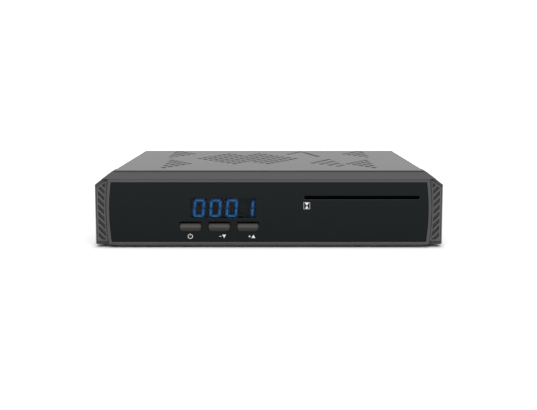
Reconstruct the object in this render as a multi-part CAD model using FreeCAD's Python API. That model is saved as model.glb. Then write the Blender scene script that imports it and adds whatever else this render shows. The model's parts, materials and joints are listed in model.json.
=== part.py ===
"""Satellite TV receiver: sheet-metal case, moulded fascia, display, push buttons and card reader.

Units are millimetres. +X is to the viewer's right, +Y goes from the front to the back and +Z is up.
The origin is the centre of the bounding box at the level of the feet.
"""

import FreeCAD, Part
import math
import os

V = FreeCAD.Vector

# ---- Driving dimensions -------------------------------------------------------------------------

# Fascia's width, which the case's width follows
FASCIA_WIDTH = 170.0
EAR_REACH = 8.6

# Case
CASE_DEPTH = 110.0
CASE_HEIGHT = 34.5
SHEET = 0.8
SHEET_GAP = 0.2
LID_BEND = 1.2
LID_HEM = 0.4
REAR_LIP = 5.0
BASE_FLANGE = 9.0
TOP_FLANGE = 8.0
FOOT_HEIGHT = 3.0
FOOT_RADIUS = 6.0
FOOT_INSET = 13.0
FOOT_SPACE = 2.0
BASE_SETBACK = 0.5
FLANGE_SPACE = 2.0
FLOOR_SLOTS = 9
FLOOR_SLOT_PITCH = 6.0
FLOOR_SLOT_WIDTH = 2.0
FLOOR_SLOT_LENGTH = 18.0
FLOOR_SLOT_ROWS = 32.0

# Fascia
FASCIA_WALL = 1.8
CHEEK_WIDTH = 7.0
FASCIA_DROP = 1.5
LID_SETBACK = 4.5
LID_STEP = 0.6
CORNER_RUN = 8.0
CORNER_RISE = 6.3
CHIN_DROP = 0.6
CHIN_SLOPE = 1.6
CHIN_RUN = 5.4
CHIN_INSET = 7.3
EAR_DEPTH = 18.0
EAR_TAPER = 8.0
EAR_GAP = 0.3
SKIRT_DEPTH = 12.0
TONGUE_DEPTH = 10.5
TONGUE = 1.2
CHEEK_SETBACK = 2.0
CHEEK_BEVEL = 0.8
CHEEK_BEVEL_TOP = 1.5
CHEEK_BEVEL_DEPTH = 1.6
BAND_FRONT = 0.2
BAND_RISE = 3.15

# Front panel and the raised bezel round it
PANEL_BOW = 1.0
PANEL_LOW = 1.4
PANEL_THICK = 2.0
PANEL_GAP = 0.1
PANEL_LEDGE = 1.8
BEZEL_SIDE = 1.45
BEZEL_TOP = 0.95
BEZEL_BOTTOM = 0.75
BEZEL_PROUD = 0.4
BEZEL_ROUND = 0.3
GROOVE = 0.5
GROOVE_DEPTH = 0.6

# Ribbed cheek trims
TRIM_EDGE = 1.0
TRIM_GAP = 0.6
TRIM_LOW = 1.5
TRIM_THICK = 1.2
TRIM_RIM = 0.65
TRIM_TOP_INSET = 1.6
RIB_WIDTH = 0.85
RIB_PITCH = 3.4
RIB_RELIEF = 0.8

# Push buttons
BUTTON_PITCH = 13.95
BUTTON_LEFT_X = -38.1
BUTTON_WIDTH = 10.5
BUTTON_LOW = 6.55
BUTTON_HEIGHT = 4.05
BUTTON_TOP_ROUND = 0.5
BUTTON_LOW_ROUND = 1.5
BUTTON_PROUD = 1.4
BUTTON_GAP = 0.15
BUTTON_HEADROOM = 0.7
BUTTON_CROWN = 4.6
BUTTON_CROWN_WIDE = 42.0
FLANGE_EDGE = 0.9
FLANGE_THICK = 1.2
STEM_RADIUS = 1.25
STEM_LENGTH = 2.3
SWITCH_WIDTH = 6.0
SWITCH_DEPTH = 3.4
PLUNGER_RADIUS = 1.75
PLUNGER_REACH = 1.6
PLUNGER_SUNK = 1.0
PLUNGER_GAP = 0.06
BUTTON_TRAVEL = 0.4

# Display
DIGIT_HEIGHT = 8.5
DIGIT_WIDTH = 5.1
DIGIT_PITCH = 8.0
DIGIT_LEFT_X = -34.1
DIGIT_MIDDLE = 17.6
DIGIT_SLANT = 4.5
SEGMENT = 0.78
SEGMENT_GAP = 0.25
SEGMENT_THICK = 0.2
SHOWN_DIGITS = (0, 0, 0, 1)
DISPLAY_MARGIN = 4.4
DISPLAY_BODY_HEIGHT = 12.0
WINDOW_MARGIN = 1.2
WINDOW_FIT = 0.05
DISPLAY_CLEARANCE = 0.5

# Card slot and reader
SLOT_INSET = 3.2
SLOT_DROP = 7.625
SLOT_CLEARANCE = 1.21
SLOT_HEIGHT = 1.65
SLOT_EDGE = 0.35
SLOT_EDGE_DEPTH = 0.25
CARD_WIDTH = 53.98
CARD_GAP = 0.31
CARD_CHANNEL = 0.95
FUNNEL_DEPTH = 3.0
READER_WALL_LEFT = 2.85
READER_WALL_RIGHT = 1.75
READER_DEPTH = 60.0
READER_FLOOR = 2.6
READER_ROOF = 2.3
READER_STOP = 2.0
CONTACT_WIDTH = 1.7
CONTACT_LENGTH = 8.0
CONTACT_THICK = 0.5
CONTACT_PITCH_X = 2.54
CONTACT_PITCH_Y = 12.0
CONTACT_SETBACK = 22.0
CARD_BOARD_MARGIN = 4.0
CARD_BOARD_GAP = 1.0
CARD_PILLAR_RADIUS = 2.5
CARD_PILLAR_INSET = 3.5
CARD_PILLAR_RIGHT = 14.0
CARD_PILLAR_FRONT = 15.0
CARD_PILLAR_BACK = 4.0
CARD_HEADER_WIDTH = 22.0
CARD_HEADER_DEPTH = 5.0

# Boards
BOARD = 1.6
PILLAR = 5.0
PILLAR_RADIUS = 3.0
BOARD_EDGE_GAP = 2.0
MAIN_BOARD_FRONT = 16.0
MAIN_BOARD_BACK_GAP = 0.7
BOARD_HOLE_INSET = 5.0
FRONT_BOARD_LEFT = -62.0
BOSS_RADIUS = 2.2
BOSS_INSET = 2.6
BOSS_CLEARANCE = 0.5

# Ribbon cable between the front board and the main board
RIBBON_WIDTH = 14.0
RIBBON_THICK = 0.4
RIBBON_INSET = 16.0
RIBBON_RISE = 14.0
RIBBON_BACK_GAP = 9.0
RIBBON_STRAIGHT = 1.5
HEADER = 4.0
HEADER_EDGE = 1.0
HEADER_WIDTH = 5.0

# Components on the main board
CHIP = 19.0
CHIP_X = -9.0
CHIP_DEPTH = 66.0
CHIP_THICK = 2.2
SINK = 25.0
SINK_BASE = 2.0
SINK_HEIGHT = 10.0
SINK_FINS = 7
SINK_FIN = 1.2
MEMORY_CHIP = (11.0, 8.0, 1.2)
MEMORY_PITCH = 14.0
MEMORY_GAP = 5.5
REGULATOR_CHIP = (6.0, 5.0, 1.5)
REGULATOR_PITCH = 9.0
REGULATOR_INSET = (12.0, 30.0)
INTERFACE_CHIP = (5.0, 6.5, 1.5)
INTERFACE_PITCH = 8.0
INTERFACE_OFFSET = (4.0, 8.0)
SMALL_CAN_RADIUS = 3.15
SMALL_CAN_HEIGHT = 7.5
SMALL_CAN_PITCH = 10.0
SMALL_CAN_INSET = 16.0
SMALL_CAN_OFFSET = 8.0
LARGE_CAN_RADIUS = 4.0
LARGE_CAN_HEIGHT = 9.0
LARGE_CAN_PITCH = 11.0
LARGE_CAN_OFFSET = 4.0
POWER_GAP = 1.0
COIL = 7.0
COIL_HEIGHT = 4.0
COIL_CHAMFER = 1.2
COIL_PITCH = 12.0
COIL_OFFSET = 14.0
CAN_GAP = 2.0
CRYSTAL = (10.0, 4.2, 3.2)
CRYSTAL_GAP = 4.0

# Connectors in the rear wall, from left to right seen from the front
REAR_GAP = 0.2
TUNER_WIDTH = 30.0
TUNER_DEPTH = 34.0
TUNER_HEIGHT = 15.0
F_PITCH = 15.0
F_AXIS = 7.6
F_THREAD_RADIUS = 4.76
F_SHOULDER = 5.2
F_REACH = 11.0
F_NUT_RADIUS = 6.4
F_NUT = 2.0
F_ROOT = 5.0
F_BORE = 3.3
F_CONTACT = 0.5
HDMI_WIDTH = 15.0
HDMI_HEIGHT = 6.0
HDMI_DEPTH = 12.0
USB_WIDTH = 14.5
USB_HEIGHT = 7.1
USB_DEPTH = 14.0
SOCKET_PROUD = 0.5
SOCKET_SHELL = 0.4
SOCKET_BACK = 1.5
HDMI_FLOOR = 0.8
HDMI_TONGUE = 1.0
HDMI_TONGUE_GAP = 1.6
USB_FLOOR = 1.0
USB_TONGUE = 1.8
USB_TONGUE_GAP = 1.2
TONGUE_SETBACK = 1.2
SCART_WIDTH = 48.0
SCART_HEIGHT = 16.5
SCART_DEPTH = 13.0
SCART_SLOT = 3.0
SCART_PITCH = 3.81
SCART_ROW = 4.8
SCART_SHIFT = 1.9
SCART_CORNER = 4.0
SCART_CHANNEL = 8.0
SCART_RIM = 1.6
SCART_ISLAND = 2.7
RCA_BODY = 10.0
RCA_AXIS = 7.5
RCA_RADIUS = 4.15
RCA_SHOULDER = 4.6
RCA_REACH = 9.0
RCA_BORE = 3.2
RCA_CONTACT = 1.6
DC_WIDTH = 9.0
DC_HEIGHT = 11.0
DC_DEPTH = 14.0
DC_AXIS = 6.5
DC_BORE = 2.85
DC_COLLAR = 1.0
DC_PIN = 1.0
DC_BORE_DEPTH = 10.0
DC_PROUD = 0.3

# Screws
SCREW_RADIUS = 1.45
SCREW_HEAD = 2.8
SCREW_HEAD_HEIGHT = 1.6
FLAT_HEAD_HEIGHT = 0.8
SCREW_LENGTH = 4.0
SCREW_CROWN = 0.72
SCREW_RECESS = 0.35
SCREW_FIT = 0.1
COVER_SCREW_RISE = 3.2
COVER_SCREW_FRONT = 26.0
COVER_SCREW_REAR = 22.0
REAR_SCREW_INSET = 14.0
REAR_SCREW_DROP = 0.3
FASCIA_SCREW_INSET = 18.0
FASCIA_SCREW_BACK = 3.0
BOSS_SCREW_RADIUS = 1.1
BOSS_SCREW_HEAD = 1.2

# Vent holes of the lid: staggered rows
VENT_RADIUS = 1.2
VENT_COLUMN = 2.8
VENT_ROW = 4.68
VENT_LEAN = 0.45
VENT_DIAMOND = 6.5
VENT_DIAMOND_SHIFT = -6
VENT_DIAMOND_X = -0.3
VENT_DIAMOND_COLUMN = 2.95
VENT_DIAMOND_DEPTH = 32.0
VENT_TRIANGLES = ((52.9, 12.8), (55.5, 69.0))
VENT_TRIANGLE_SIDE = 5
VENT_FAN = (23.4, 35.5)
VENT_FAN_STEP = (4.1, -5.1)
VENT_FAN_LINES = 4
VENT_CHEVRON = ((11.9, 87.0, 2.4), (27.9, 73.0, -1.3))
VENT_CHEVRON_HOLES = (4, 6)

# ---- Levels and planes worked out from them -----------------------------------------------------

FASCIA_HALF = FASCIA_WIDTH / 2
CASE_HALF = FASCIA_HALF - EAR_REACH
PANEL_HALF = FASCIA_HALF - CHEEK_WIDTH - BEZEL_SIDE
TRIM_OUTER = FASCIA_HALF - TRIM_EDGE
TRIM_INNER = FASCIA_HALF - CHEEK_WIDTH + TRIM_GAP

PANEL_Y = -(LID_SETBACK + CASE_DEPTH - SHEET + F_REACH - BUTTON_PROUD) / 2
FLOOR_Z = FOOT_HEIGHT
FLOOR_TOP = FLOOR_Z + SHEET
LID_TOP = FLOOR_Z + CASE_HEIGHT
LID_UNDER = LID_TOP - SHEET
CASE_INNER = CASE_HALF - SHEET
LID_FRONT = PANEL_Y + LID_SETBACK
LID_BACK = LID_FRONT + CASE_DEPTH
WALL_OUTER = LID_BACK - SHEET
WALL_INNER = WALL_OUTER - SHEET
BASE_HALF = CASE_INNER - SHEET_GAP
BASE_FRONT = LID_FRONT + BASE_SETBACK

FASCIA_Z = FLOOR_Z - FASCIA_DROP
FASCIA_TOP = LID_TOP - LID_STEP
BAND_Z = FASCIA_TOP - BAND_RISE
CORNER_Z = FASCIA_TOP - CORNER_RISE
CHEEK_Y = PANEL_Y + CHEEK_SETBACK
BEZEL_Y = PANEL_Y - BEZEL_PROUD
PANEL_Z0 = FASCIA_Z + PANEL_LOW
PANEL_Z1 = BAND_Z - GROOVE - BEZEL_TOP
PANEL_REAR = PANEL_Y + PANEL_THICK

BUTTON_X = [BUTTON_LEFT_X + i * BUTTON_PITCH for i in range(3)]
BUTTON_Z0 = FASCIA_Z + BUTTON_LOW
BUTTON_Z1 = BUTTON_Z0 + BUTTON_HEIGHT
BUTTON_Z = (BUTTON_Z0 + BUTTON_Z1) / 2
STEM_TIP = PANEL_REAR + FLANGE_THICK + STEM_LENGTH
SWITCH_FRONT = STEM_TIP + PLUNGER_REACH
FRONT_BOARD_Y = SWITCH_FRONT + SWITCH_DEPTH
FRONT_BOARD_REAR = FRONT_BOARD_Y + BOARD
BOSS_LOW = PANEL_Z0 + PANEL_LEDGE + BOSS_CLEARANCE + BOSS_RADIUS
BOSS_TOP = PANEL_Z1 - PANEL_LEDGE - BOSS_CLEARANCE - BOSS_RADIUS
BOSS_RIGHT = BUTTON_X[-1] + BUTTON_WIDTH / 2 + FLANGE_EDGE + BOSS_CLEARANCE + BOSS_RADIUS
FRONT_BOARD_RIGHT = BOSS_RIGHT + BOSS_INSET
FRONT_BOARD_LOW = BOSS_LOW - BOSS_INSET
FRONT_BOARD_TOP = BOSS_TOP + BOSS_INSET

DIGIT_X = [DIGIT_LEFT_X + i * DIGIT_PITCH for i in range(len(SHOWN_DIGITS))]
DIGIT_Z = FASCIA_Z + DIGIT_MIDDLE
SEGMENT_Y = PANEL_REAR + DISPLAY_CLEARANCE
DISPLAY_FACE = SEGMENT_Y + SEGMENT_THICK

SLOT_WIDTH = CARD_WIDTH + 2 * SLOT_CLEARANCE
SLOT_RIGHT = PANEL_HALF - SLOT_INSET
SLOT_LEFT = SLOT_RIGHT - SLOT_WIDTH
SLOT_Z = PANEL_Z1 - SLOT_DROP
CARD_X = SLOT_LEFT + SLOT_WIDTH / 2
CHANNEL_HALF = CARD_WIDTH / 2 + CARD_GAP
READER_X0 = CARD_X - CHANNEL_HALF - READER_WALL_LEFT
READER_X1 = CARD_X + CHANNEL_HALF + READER_WALL_RIGHT
READER_Y1 = PANEL_REAR + READER_DEPTH
CHANNEL_Z0 = SLOT_Z - CARD_CHANNEL / 2
CHANNEL_Z1 = SLOT_Z + CARD_CHANNEL / 2
READER_Z0 = CHANNEL_Z0 - READER_FLOOR
READER_Z1 = CHANNEL_Z1 + READER_ROOF
CARD_BOARD_Z = READER_Z0 - BOARD
CARD_BOARD_Y0 = FRONT_BOARD_REAR + CARD_BOARD_GAP
CARD_BOARD_Y1 = READER_Y1 + CARD_BOARD_MARGIN

BOARD_Z = FLOOR_TOP + PILLAR
BOARD_TOP = BOARD_Z + BOARD
BOARD_X0 = -(BASE_HALF - BOARD_EDGE_GAP)
BOARD_X1 = BASE_HALF - BOARD_EDGE_GAP
BOARD_Y0 = PANEL_Y + MAIN_BOARD_FRONT
BOARD_Y1 = WALL_INNER - MAIN_BOARD_BACK_GAP
PILLAR_X = (BOARD_X0 + BOARD_HOLE_INSET, BOARD_X1 - BOARD_HOLE_INSET)
PILLAR_Y = (BOARD_Y0 + BOARD_HOLE_INSET, WALL_INNER - REAR_GAP - TUNER_DEPTH - PILLAR_RADIUS * 2)

RIBBON_X = FRONT_BOARD_LEFT + RIBBON_INSET
RIBBON_TOP = FRONT_BOARD_LOW + RIBBON_RISE
RIBBON_BACK = BOARD_Y0 + RIBBON_BACK_GAP
CHIP_Y = PANEL_Y + CHIP_DEPTH
COIL_Y = CARD_BOARD_Y1 + POWER_GAP
LARGE_CAN_Y = COIL_Y + COIL + CAN_GAP + LARGE_CAN_RADIUS

CONNECTOR_WIDTHS = (TUNER_WIDTH, HDMI_WIDTH, USB_WIDTH, SCART_WIDTH, RCA_BODY, DC_WIDTH)
CONNECTOR_SPACE = (BOARD_X1 - BOARD_X0 - sum(CONNECTOR_WIDTHS)) / (len(CONNECTOR_WIDTHS) - 0.5)
TUNER_X0 = BOARD_X0 + CONNECTOR_SPACE / 2
HDMI_X0 = TUNER_X0 + TUNER_WIDTH + CONNECTOR_SPACE
USB_X0 = HDMI_X0 + HDMI_WIDTH + CONNECTOR_SPACE
SCART_X0 = USB_X0 + USB_WIDTH + CONNECTOR_SPACE
RCA_X0 = SCART_X0 + SCART_WIDTH + CONNECTOR_SPACE
DC_X0 = RCA_X0 + RCA_BODY + CONNECTOR_SPACE
F_X = [TUNER_X0 + TUNER_WIDTH / 2 + side * F_PITCH / 2 for side in (-1, 1)]
F_Z = BOARD_TOP + F_AXIS
RCA_X = RCA_X0 + RCA_BODY / 2
RCA_Z = BOARD_TOP + RCA_AXIS
DC_X = DC_X0 + DC_WIDTH / 2
DC_Z = BOARD_TOP + DC_AXIS

COVER_SCREW_Z = FLOOR_Z + COVER_SCREW_RISE
COVER_SCREW_Y = (LID_FRONT + COVER_SCREW_FRONT, LID_BACK - COVER_SCREW_REAR)
REAR_SCREW_X = (-CASE_HALF + REAR_SCREW_INSET, 0.0, CASE_HALF - REAR_SCREW_INSET)
REAR_SCREW_Z = LID_UNDER - REAR_LIP / 2 - REAR_SCREW_DROP
FASCIA_SCREW_X = (-CASE_HALF + FASCIA_SCREW_INSET, 0.0, CASE_HALF - FASCIA_SCREW_INSET)
FASCIA_SCREW_Y = PANEL_Y + SKIRT_DEPTH - FASCIA_SCREW_BACK


# ---- Shapes used by several pieces --------------------------------------------------------------

def box(x0, x1, y0, y1, z0, z1):
    """Return a block between two corners."""
    return Part.makeBox(x1 - x0, y1 - y0, z1 - z0, V(x0, y0, z0))


def rod(radius, start, end):
    """Return a cylinder between two points."""
    axis = end - start
    return Part.makeCylinder(radius, axis.Length, start, axis)


def prism_y(points, y0, y1):
    """Return the prism over a closed (x, z) polygon, from y0 to y1."""
    corners = [V(x, y0, z) for x, z in points]
    face = Part.Face(Part.makePolygon(corners + corners[:1]))
    return face.extrude(V(0, y1 - y0, 0))


def prism_x(points, x0, x1):
    """Return the prism over a closed (y, z) polygon, from x0 to x1."""
    corners = [V(x0, y, z) for y, z in points]
    face = Part.Face(Part.makePolygon(corners + corners[:1]))
    return face.extrude(V(x1 - x0, 0, 0))


def prism_z(points, z0, z1):
    """Return the prism over a closed (x, y) polygon, from z0 to z1."""
    corners = [V(x, y, z0) for x, y in points]
    face = Part.Face(Part.makePolygon(corners + corners[:1]))
    return face.extrude(V(0, 0, z1 - z0))


def bowed_prism(half, bow, z0, z1, y0, y1):
    """Return a plate in the front's plane whose two sides bulge outwards by bow."""
    middle = (z0 + z1) / 2
    right = Part.Arc(V(half, y0, z0), V(half + bow, y0, middle), V(half, y0, z1)).toShape()
    left = Part.Arc(V(-half, y0, z1), V(-half - bow, y0, middle), V(-half, y0, z0)).toShape()
    top = Part.makeLine(V(half, y0, z1), V(-half, y0, z1))
    low = Part.makeLine(V(-half, y0, z0), V(half, y0, z0))
    face = Part.Face(Part.Wire([low, right, top, left]))
    return face.extrude(V(0, y1 - y0, 0))


def stadium_y(x0, x1, z, radius, y0, y1):
    """Return a bar along Y with rounded ends, from x0 to x1 and 2 * radius high."""
    bar = box(x0 + radius, x1 - radius, y0, y1, z - radius, z + radius)
    ends = [rod(radius, V(x, y0, z), V(x, y1, z)) for x in (x0 + radius, x1 - radius)]
    return bar.fuse(ends).removeSplitter()


def mirrored(shape):
    """Return the shape reflected in the middle plane."""
    return shape.mirror(V(0, 0, 0), V(1, 0, 0))


def one(shape):
    """Return the single solid of a boolean result."""
    solids = shape.removeSplitter().Solids
    if len(solids) != 1:
        raise ValueError("expected one solid, found %d" % len(solids))
    return solids[0]


def group(shapes):
    """Return separate solids as one compound."""
    return Part.makeCompound(shapes)


def pan_screw(seat, direction, grip, height=SCREW_HEAD_HEIGHT):
    """Return a pan-head screw whose head rests at seat and whose shank runs along direction."""
    tip = seat + direction * grip
    crown = seat - direction * height
    head = Part.makeCone(SCREW_HEAD, SCREW_HEAD * SCREW_CROWN, height, seat, direction * -1)
    recess = rod(SCREW_HEAD * SCREW_RECESS, crown, crown + direction * (height * 0.6))
    return one(head.fuse(rod(SCREW_RADIUS, seat, tip)).cut(recess))


# ---- Case ---------------------------------------------------------------------------------------

def diamond_vents():
    """Return the hole centres (x, depth behind the lid's front edge) of the two joined diamonds."""
    reach = VENT_DIAMOND + abs(VENT_DIAMOND_SHIFT)
    centres = []
    for row in range(int(2 * VENT_DIAMOND) + 1):
        for column in range(-int(reach), int(reach) + 1):
            across = min(abs(column), abs(column - VENT_DIAMOND_SHIFT))
            if (row + column) % 2 == 0 and across + abs(row - VENT_DIAMOND) <= VENT_DIAMOND:
                x = VENT_DIAMOND_X + column * VENT_DIAMOND_COLUMN - row * VENT_LEAN
                centres.append((x, VENT_DIAMOND_DEPTH + row * VENT_ROW))
    return centres


def triangle_vents(base_x, depth):
    """Return the hole centres of a triangle that points at the middle, and of its mirror image."""
    centres = []
    for column in range(VENT_TRIANGLE_SIDE):
        for row in range(VENT_TRIANGLE_SIDE - column):
            x = base_x - column * VENT_COLUMN
            y = depth + (2 * row + column) * VENT_ROW
            centres += [(x, y), (-x, y)]
    return centres


def slanted_line(x, depth, step, count):
    """Return the hole centres of one slanting line that starts at (x, depth)."""
    return [(x + i * step, depth + i * VENT_ROW) for i in range(count)]


def vent_centres():
    """Return every hole centre of the lid."""
    centres = diamond_vents()
    for base_x, depth in VENT_TRIANGLES:
        centres += triangle_vents(base_x, depth)
    fan_x, fan_depth = VENT_FAN
    for line in range(VENT_FAN_LINES):
        centres += slanted_line(fan_x + line * VENT_FAN_STEP[0], fan_depth + line * VENT_FAN_STEP[1],
                                VENT_COLUMN - VENT_LEAN, VENT_TRIANGLE_SIDE - line)
    for (x, depth, step), holes in zip(VENT_CHEVRON, VENT_CHEVRON_HOLES):
        centres += slanted_line(x, depth, step, holes)
    return centres


def side_screw_axes():
    """Return the seat and direction of each screw in the lid's sides."""
    seats = []
    for y in COVER_SCREW_Y:
        seats.append((V(CASE_HALF, y, COVER_SCREW_Z), V(-1, 0, 0)))
        seats.append((V(-CASE_HALF, y, COVER_SCREW_Z), V(1, 0, 0)))
    return seats


def rear_screw_axes():
    """Return the seat and direction of each screw in the lid's rear lip."""
    return [(V(x, LID_BACK, REAR_SCREW_Z), V(0, -1, 0)) for x in REAR_SCREW_X]


def screw_holes(axes):
    """Return the clearance holes of a list of screws."""
    margin = 1.0
    return [rod(SCREW_RADIUS + SCREW_FIT, seat - way * margin, seat + way * (SCREW_LENGTH + margin))
            for seat, way in axes]


def screw_threads(axes):
    """Return the tapped holes of a list of screws, as wide as the shanks."""
    return [rod(SCREW_RADIUS, seat, seat + way * (SCREW_LENGTH + 1.0)) for seat, way in axes]


def top_cover():
    """Return the folded lid: top, two sides and a lip over the rear wall."""
    outer = box(-CASE_HALF, CASE_HALF, LID_FRONT, LID_BACK, FLOOR_Z, LID_TOP)
    bends = [e for e in outer.Edges
             if abs(e.CenterOfMass.z - LID_TOP) < 0.01 and abs(e.CenterOfMass.x) > 1]
    outer = outer.makeFillet(LID_BEND, bends)
    hem = [e for e in outer.Edges
           if abs(e.CenterOfMass.z - LID_TOP) < 0.01 and abs(e.CenterOfMass.y - LID_FRONT) < 0.01]
    outer = outer.makeFillet(LID_HEM, hem)
    hollow = box(-CASE_INNER, CASE_INNER, LID_FRONT - 1, LID_BACK - SHEET, FLOOR_Z - 1, LID_UNDER)
    rear_opening = box(-CASE_INNER, CASE_INNER, LID_BACK - SHEET - 1, LID_BACK + 1, FLOOR_Z - 1,
                       LID_UNDER - REAR_LIP)
    cover = outer.cut([hollow, rear_opening])
    tools = [rod(VENT_RADIUS, V(x, LID_FRONT + y, LID_UNDER - 1), V(x, LID_FRONT + y, LID_TOP + 1))
             for x, y in vent_centres()]
    tools += screw_holes(side_screw_axes() + rear_screw_axes())
    return one(cover.cut(tools))


def rear_cutouts():
    """Return the openings of the rear wall, each a little larger than its connector."""
    y0, y1 = WALL_INNER - 1, WALL_OUTER + 1
    low = BOARD_TOP - REAR_GAP
    cuts = [rod(F_SHOULDER + REAR_GAP, V(x, y0, F_Z), V(x, y1, F_Z)) for x in F_X]
    for x0, width, height in ((HDMI_X0, HDMI_WIDTH, HDMI_HEIGHT), (USB_X0, USB_WIDTH, USB_HEIGHT),
                              (SCART_X0, SCART_WIDTH, SCART_HEIGHT)):
        cuts.append(box(x0 - REAR_GAP, x0 + width + REAR_GAP, y0, y1, low,
                        BOARD_TOP + height + REAR_GAP))
    cuts.append(rod(RCA_SHOULDER + REAR_GAP, V(RCA_X, y0, RCA_Z), V(RCA_X, y1, RCA_Z)))
    cuts.append(rod(DC_BORE + DC_COLLAR + REAR_GAP, V(DC_X, y0, DC_Z), V(DC_X, y1, DC_Z)))
    return cuts


def floor_slots():
    """Return two rows of ventilation slots in the floor."""
    half_width, half_length = FLOOR_SLOT_WIDTH / 2, FLOOR_SLOT_LENGTH / 2
    slots = []
    for side in (-1, 1):
        y = (BOARD_Y0 + BOARD_Y1 + side * FLOOR_SLOT_ROWS) / 2
        for i in range(FLOOR_SLOTS):
            x = (i - (FLOOR_SLOTS - 1) / 2) * FLOOR_SLOT_PITCH
            slots.append(box(x - half_width, x + half_width, y - half_length, y + half_length,
                             FLOOR_Z - 1, FLOOR_TOP + 1))
    return slots


def chassis_base():
    """Return the floor with its side flanges, the rear wall and the pillars of the main board."""
    floor = box(-BASE_HALF, BASE_HALF, BASE_FRONT, WALL_OUTER, FLOOR_Z, FLOOR_TOP)
    wall = box(-BASE_HALF, BASE_HALF, WALL_INNER, WALL_OUTER, FLOOR_Z, LID_UNDER)
    top = box(-BASE_HALF, BASE_HALF, WALL_OUTER - TOP_FLANGE, WALL_OUTER, LID_UNDER - SHEET,
              LID_UNDER)
    flange_y = (PANEL_Y + EAR_DEPTH + FLANGE_SPACE, WALL_INNER - FLANGE_SPACE)
    right = box(BASE_HALF - SHEET, BASE_HALF, flange_y[0], flange_y[1], FLOOR_Z,
                FLOOR_Z + BASE_FLANGE)
    pillars = [rod(PILLAR_RADIUS, V(x, y, FLOOR_Z), V(x, y, BOARD_Z))
               for x in PILLAR_X for y in PILLAR_Y]
    base = floor.fuse([wall, top, right, mirrored(right)] + pillars)
    threads = screw_threads(side_screw_axes() + rear_screw_axes())
    threads += [rod(SCREW_RADIUS, V(x, y, BOARD_Z - SCREW_LENGTH), V(x, y, BOARD_Z))
                for x in PILLAR_X for y in PILLAR_Y]
    threads += [rod(SCREW_RADIUS, V(x, FASCIA_SCREW_Y, FLOOR_Z - 1),
                    V(x, FASCIA_SCREW_Y, FLOOR_TOP + 1)) for x in FASCIA_SCREW_X]
    return one(base.cut(rear_cutouts() + floor_slots() + threads))


def feet():
    """Return the place and shape of each rubber foot."""
    front = PANEL_Y + SKIRT_DEPTH + FOOT_RADIUS + FOOT_SPACE
    back = WALL_OUTER - FOOT_INSET
    reach = CASE_HALF - FOOT_INSET
    shapes = {}
    for end, y in (("front", front), ("rear", back)):
        for side, x in (("left", -reach), ("right", reach)):
            foot = Part.makeCone(FOOT_RADIUS * 0.9, FOOT_RADIUS, FOOT_HEIGHT, V(x, y, 0))
            dimple = rod(FOOT_RADIUS * 0.45, V(x, y, 0), V(x, y, FOOT_HEIGHT * 0.3))
            shapes["foot_%s_%s" % (end, side)] = foot.cut(dimple)
    return shapes


# ---- Fascia -------------------------------------------------------------------------------------

def fascia_outline(half, low, corner_z, top, run):
    """Return the front's (x, z) outline with its two cut corners."""
    return [(-half, low), (half, low), (half, corner_z), (half - run, top), (-half + run, top),
            (-half, corner_z)]


def cheek_front():
    """Return the bevelled front layer of the ears."""
    slope = math.hypot(CORNER_RUN, CORNER_RISE)
    drop = CHEEK_BEVEL_TOP * slope / CORNER_RUN
    shift = CHEEK_BEVEL_TOP * slope / CORNER_RISE
    small_corner = CORNER_Z + CHEEK_BEVEL * CORNER_RISE / CORNER_RUN - drop
    small = fascia_outline(FASCIA_HALF - CHEEK_BEVEL, FASCIA_Z, small_corner, FASCIA_TOP,
                           CORNER_RUN + shift - CHEEK_BEVEL)
    full = fascia_outline(FASCIA_HALF, FASCIA_Z, CORNER_Z, FASCIA_TOP, CORNER_RUN)
    wires = []
    for points, y in ((small, CHEEK_Y), (full, CHEEK_Y + CHEEK_BEVEL_DEPTH)):
        corners = [V(x, y, z) for x, z in points]
        wires.append(Part.makePolygon(corners + corners[:1]))
    return Part.makeLoft(wires, True, True)


def ear_plan(inset):
    """Return the (x, y) outline of both ears seen from above, drawn in by inset."""
    half = FASCIA_HALF - inset
    back = PANEL_Y + EAR_DEPTH - inset
    start = back - EAR_TAPER
    inner = CASE_HALF + EAR_GAP
    front = CHEEK_Y - 1
    return [(-half, front), (half, front), (half, start), (inner, back), (-inner, back),
            (-half, start)]


def fascia_ears():
    """Return the body of the fascia behind the cheeks, hollow behind both ears."""
    full = fascia_outline(FASCIA_HALF, FASCIA_Z, CORNER_Z, FASCIA_TOP, CORNER_RUN)
    thin = fascia_outline(FASCIA_HALF - FASCIA_WALL, FASCIA_Z + FASCIA_WALL,
                          CORNER_Z - FASCIA_WALL * 0.4, FASCIA_TOP - FASCIA_WALL, CORNER_RUN)
    back = PANEL_Y + EAR_DEPTH
    body = prism_y(full, CHEEK_Y + CHEEK_BEVEL_DEPTH, back)
    body = body.common(prism_z(ear_plan(0), FASCIA_Z - 1, FASCIA_TOP + 1))
    hollow = prism_y(thin, LID_FRONT, back)
    hollow = hollow.common(prism_z(ear_plan(FASCIA_WALL), FASCIA_Z - 1, FASCIA_TOP + 1))
    reach = CASE_HALF + EAR_GAP
    case_room = box(-reach, reach, LID_FRONT, back + 1, FLOOR_Z, FASCIA_TOP + 1)
    behind_skirt = box(-reach, reach, PANEL_Y + SKIRT_DEPTH, back + 1, FASCIA_Z - 1,
                       FASCIA_TOP + 1)
    return body.cut([hollow, case_room, behind_skirt])


def bezel_z():
    """Return the lower and upper level of the raised bezel."""
    return PANEL_Z0 - BEZEL_BOTTOM, PANEL_Z1 + BEZEL_TOP


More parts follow.
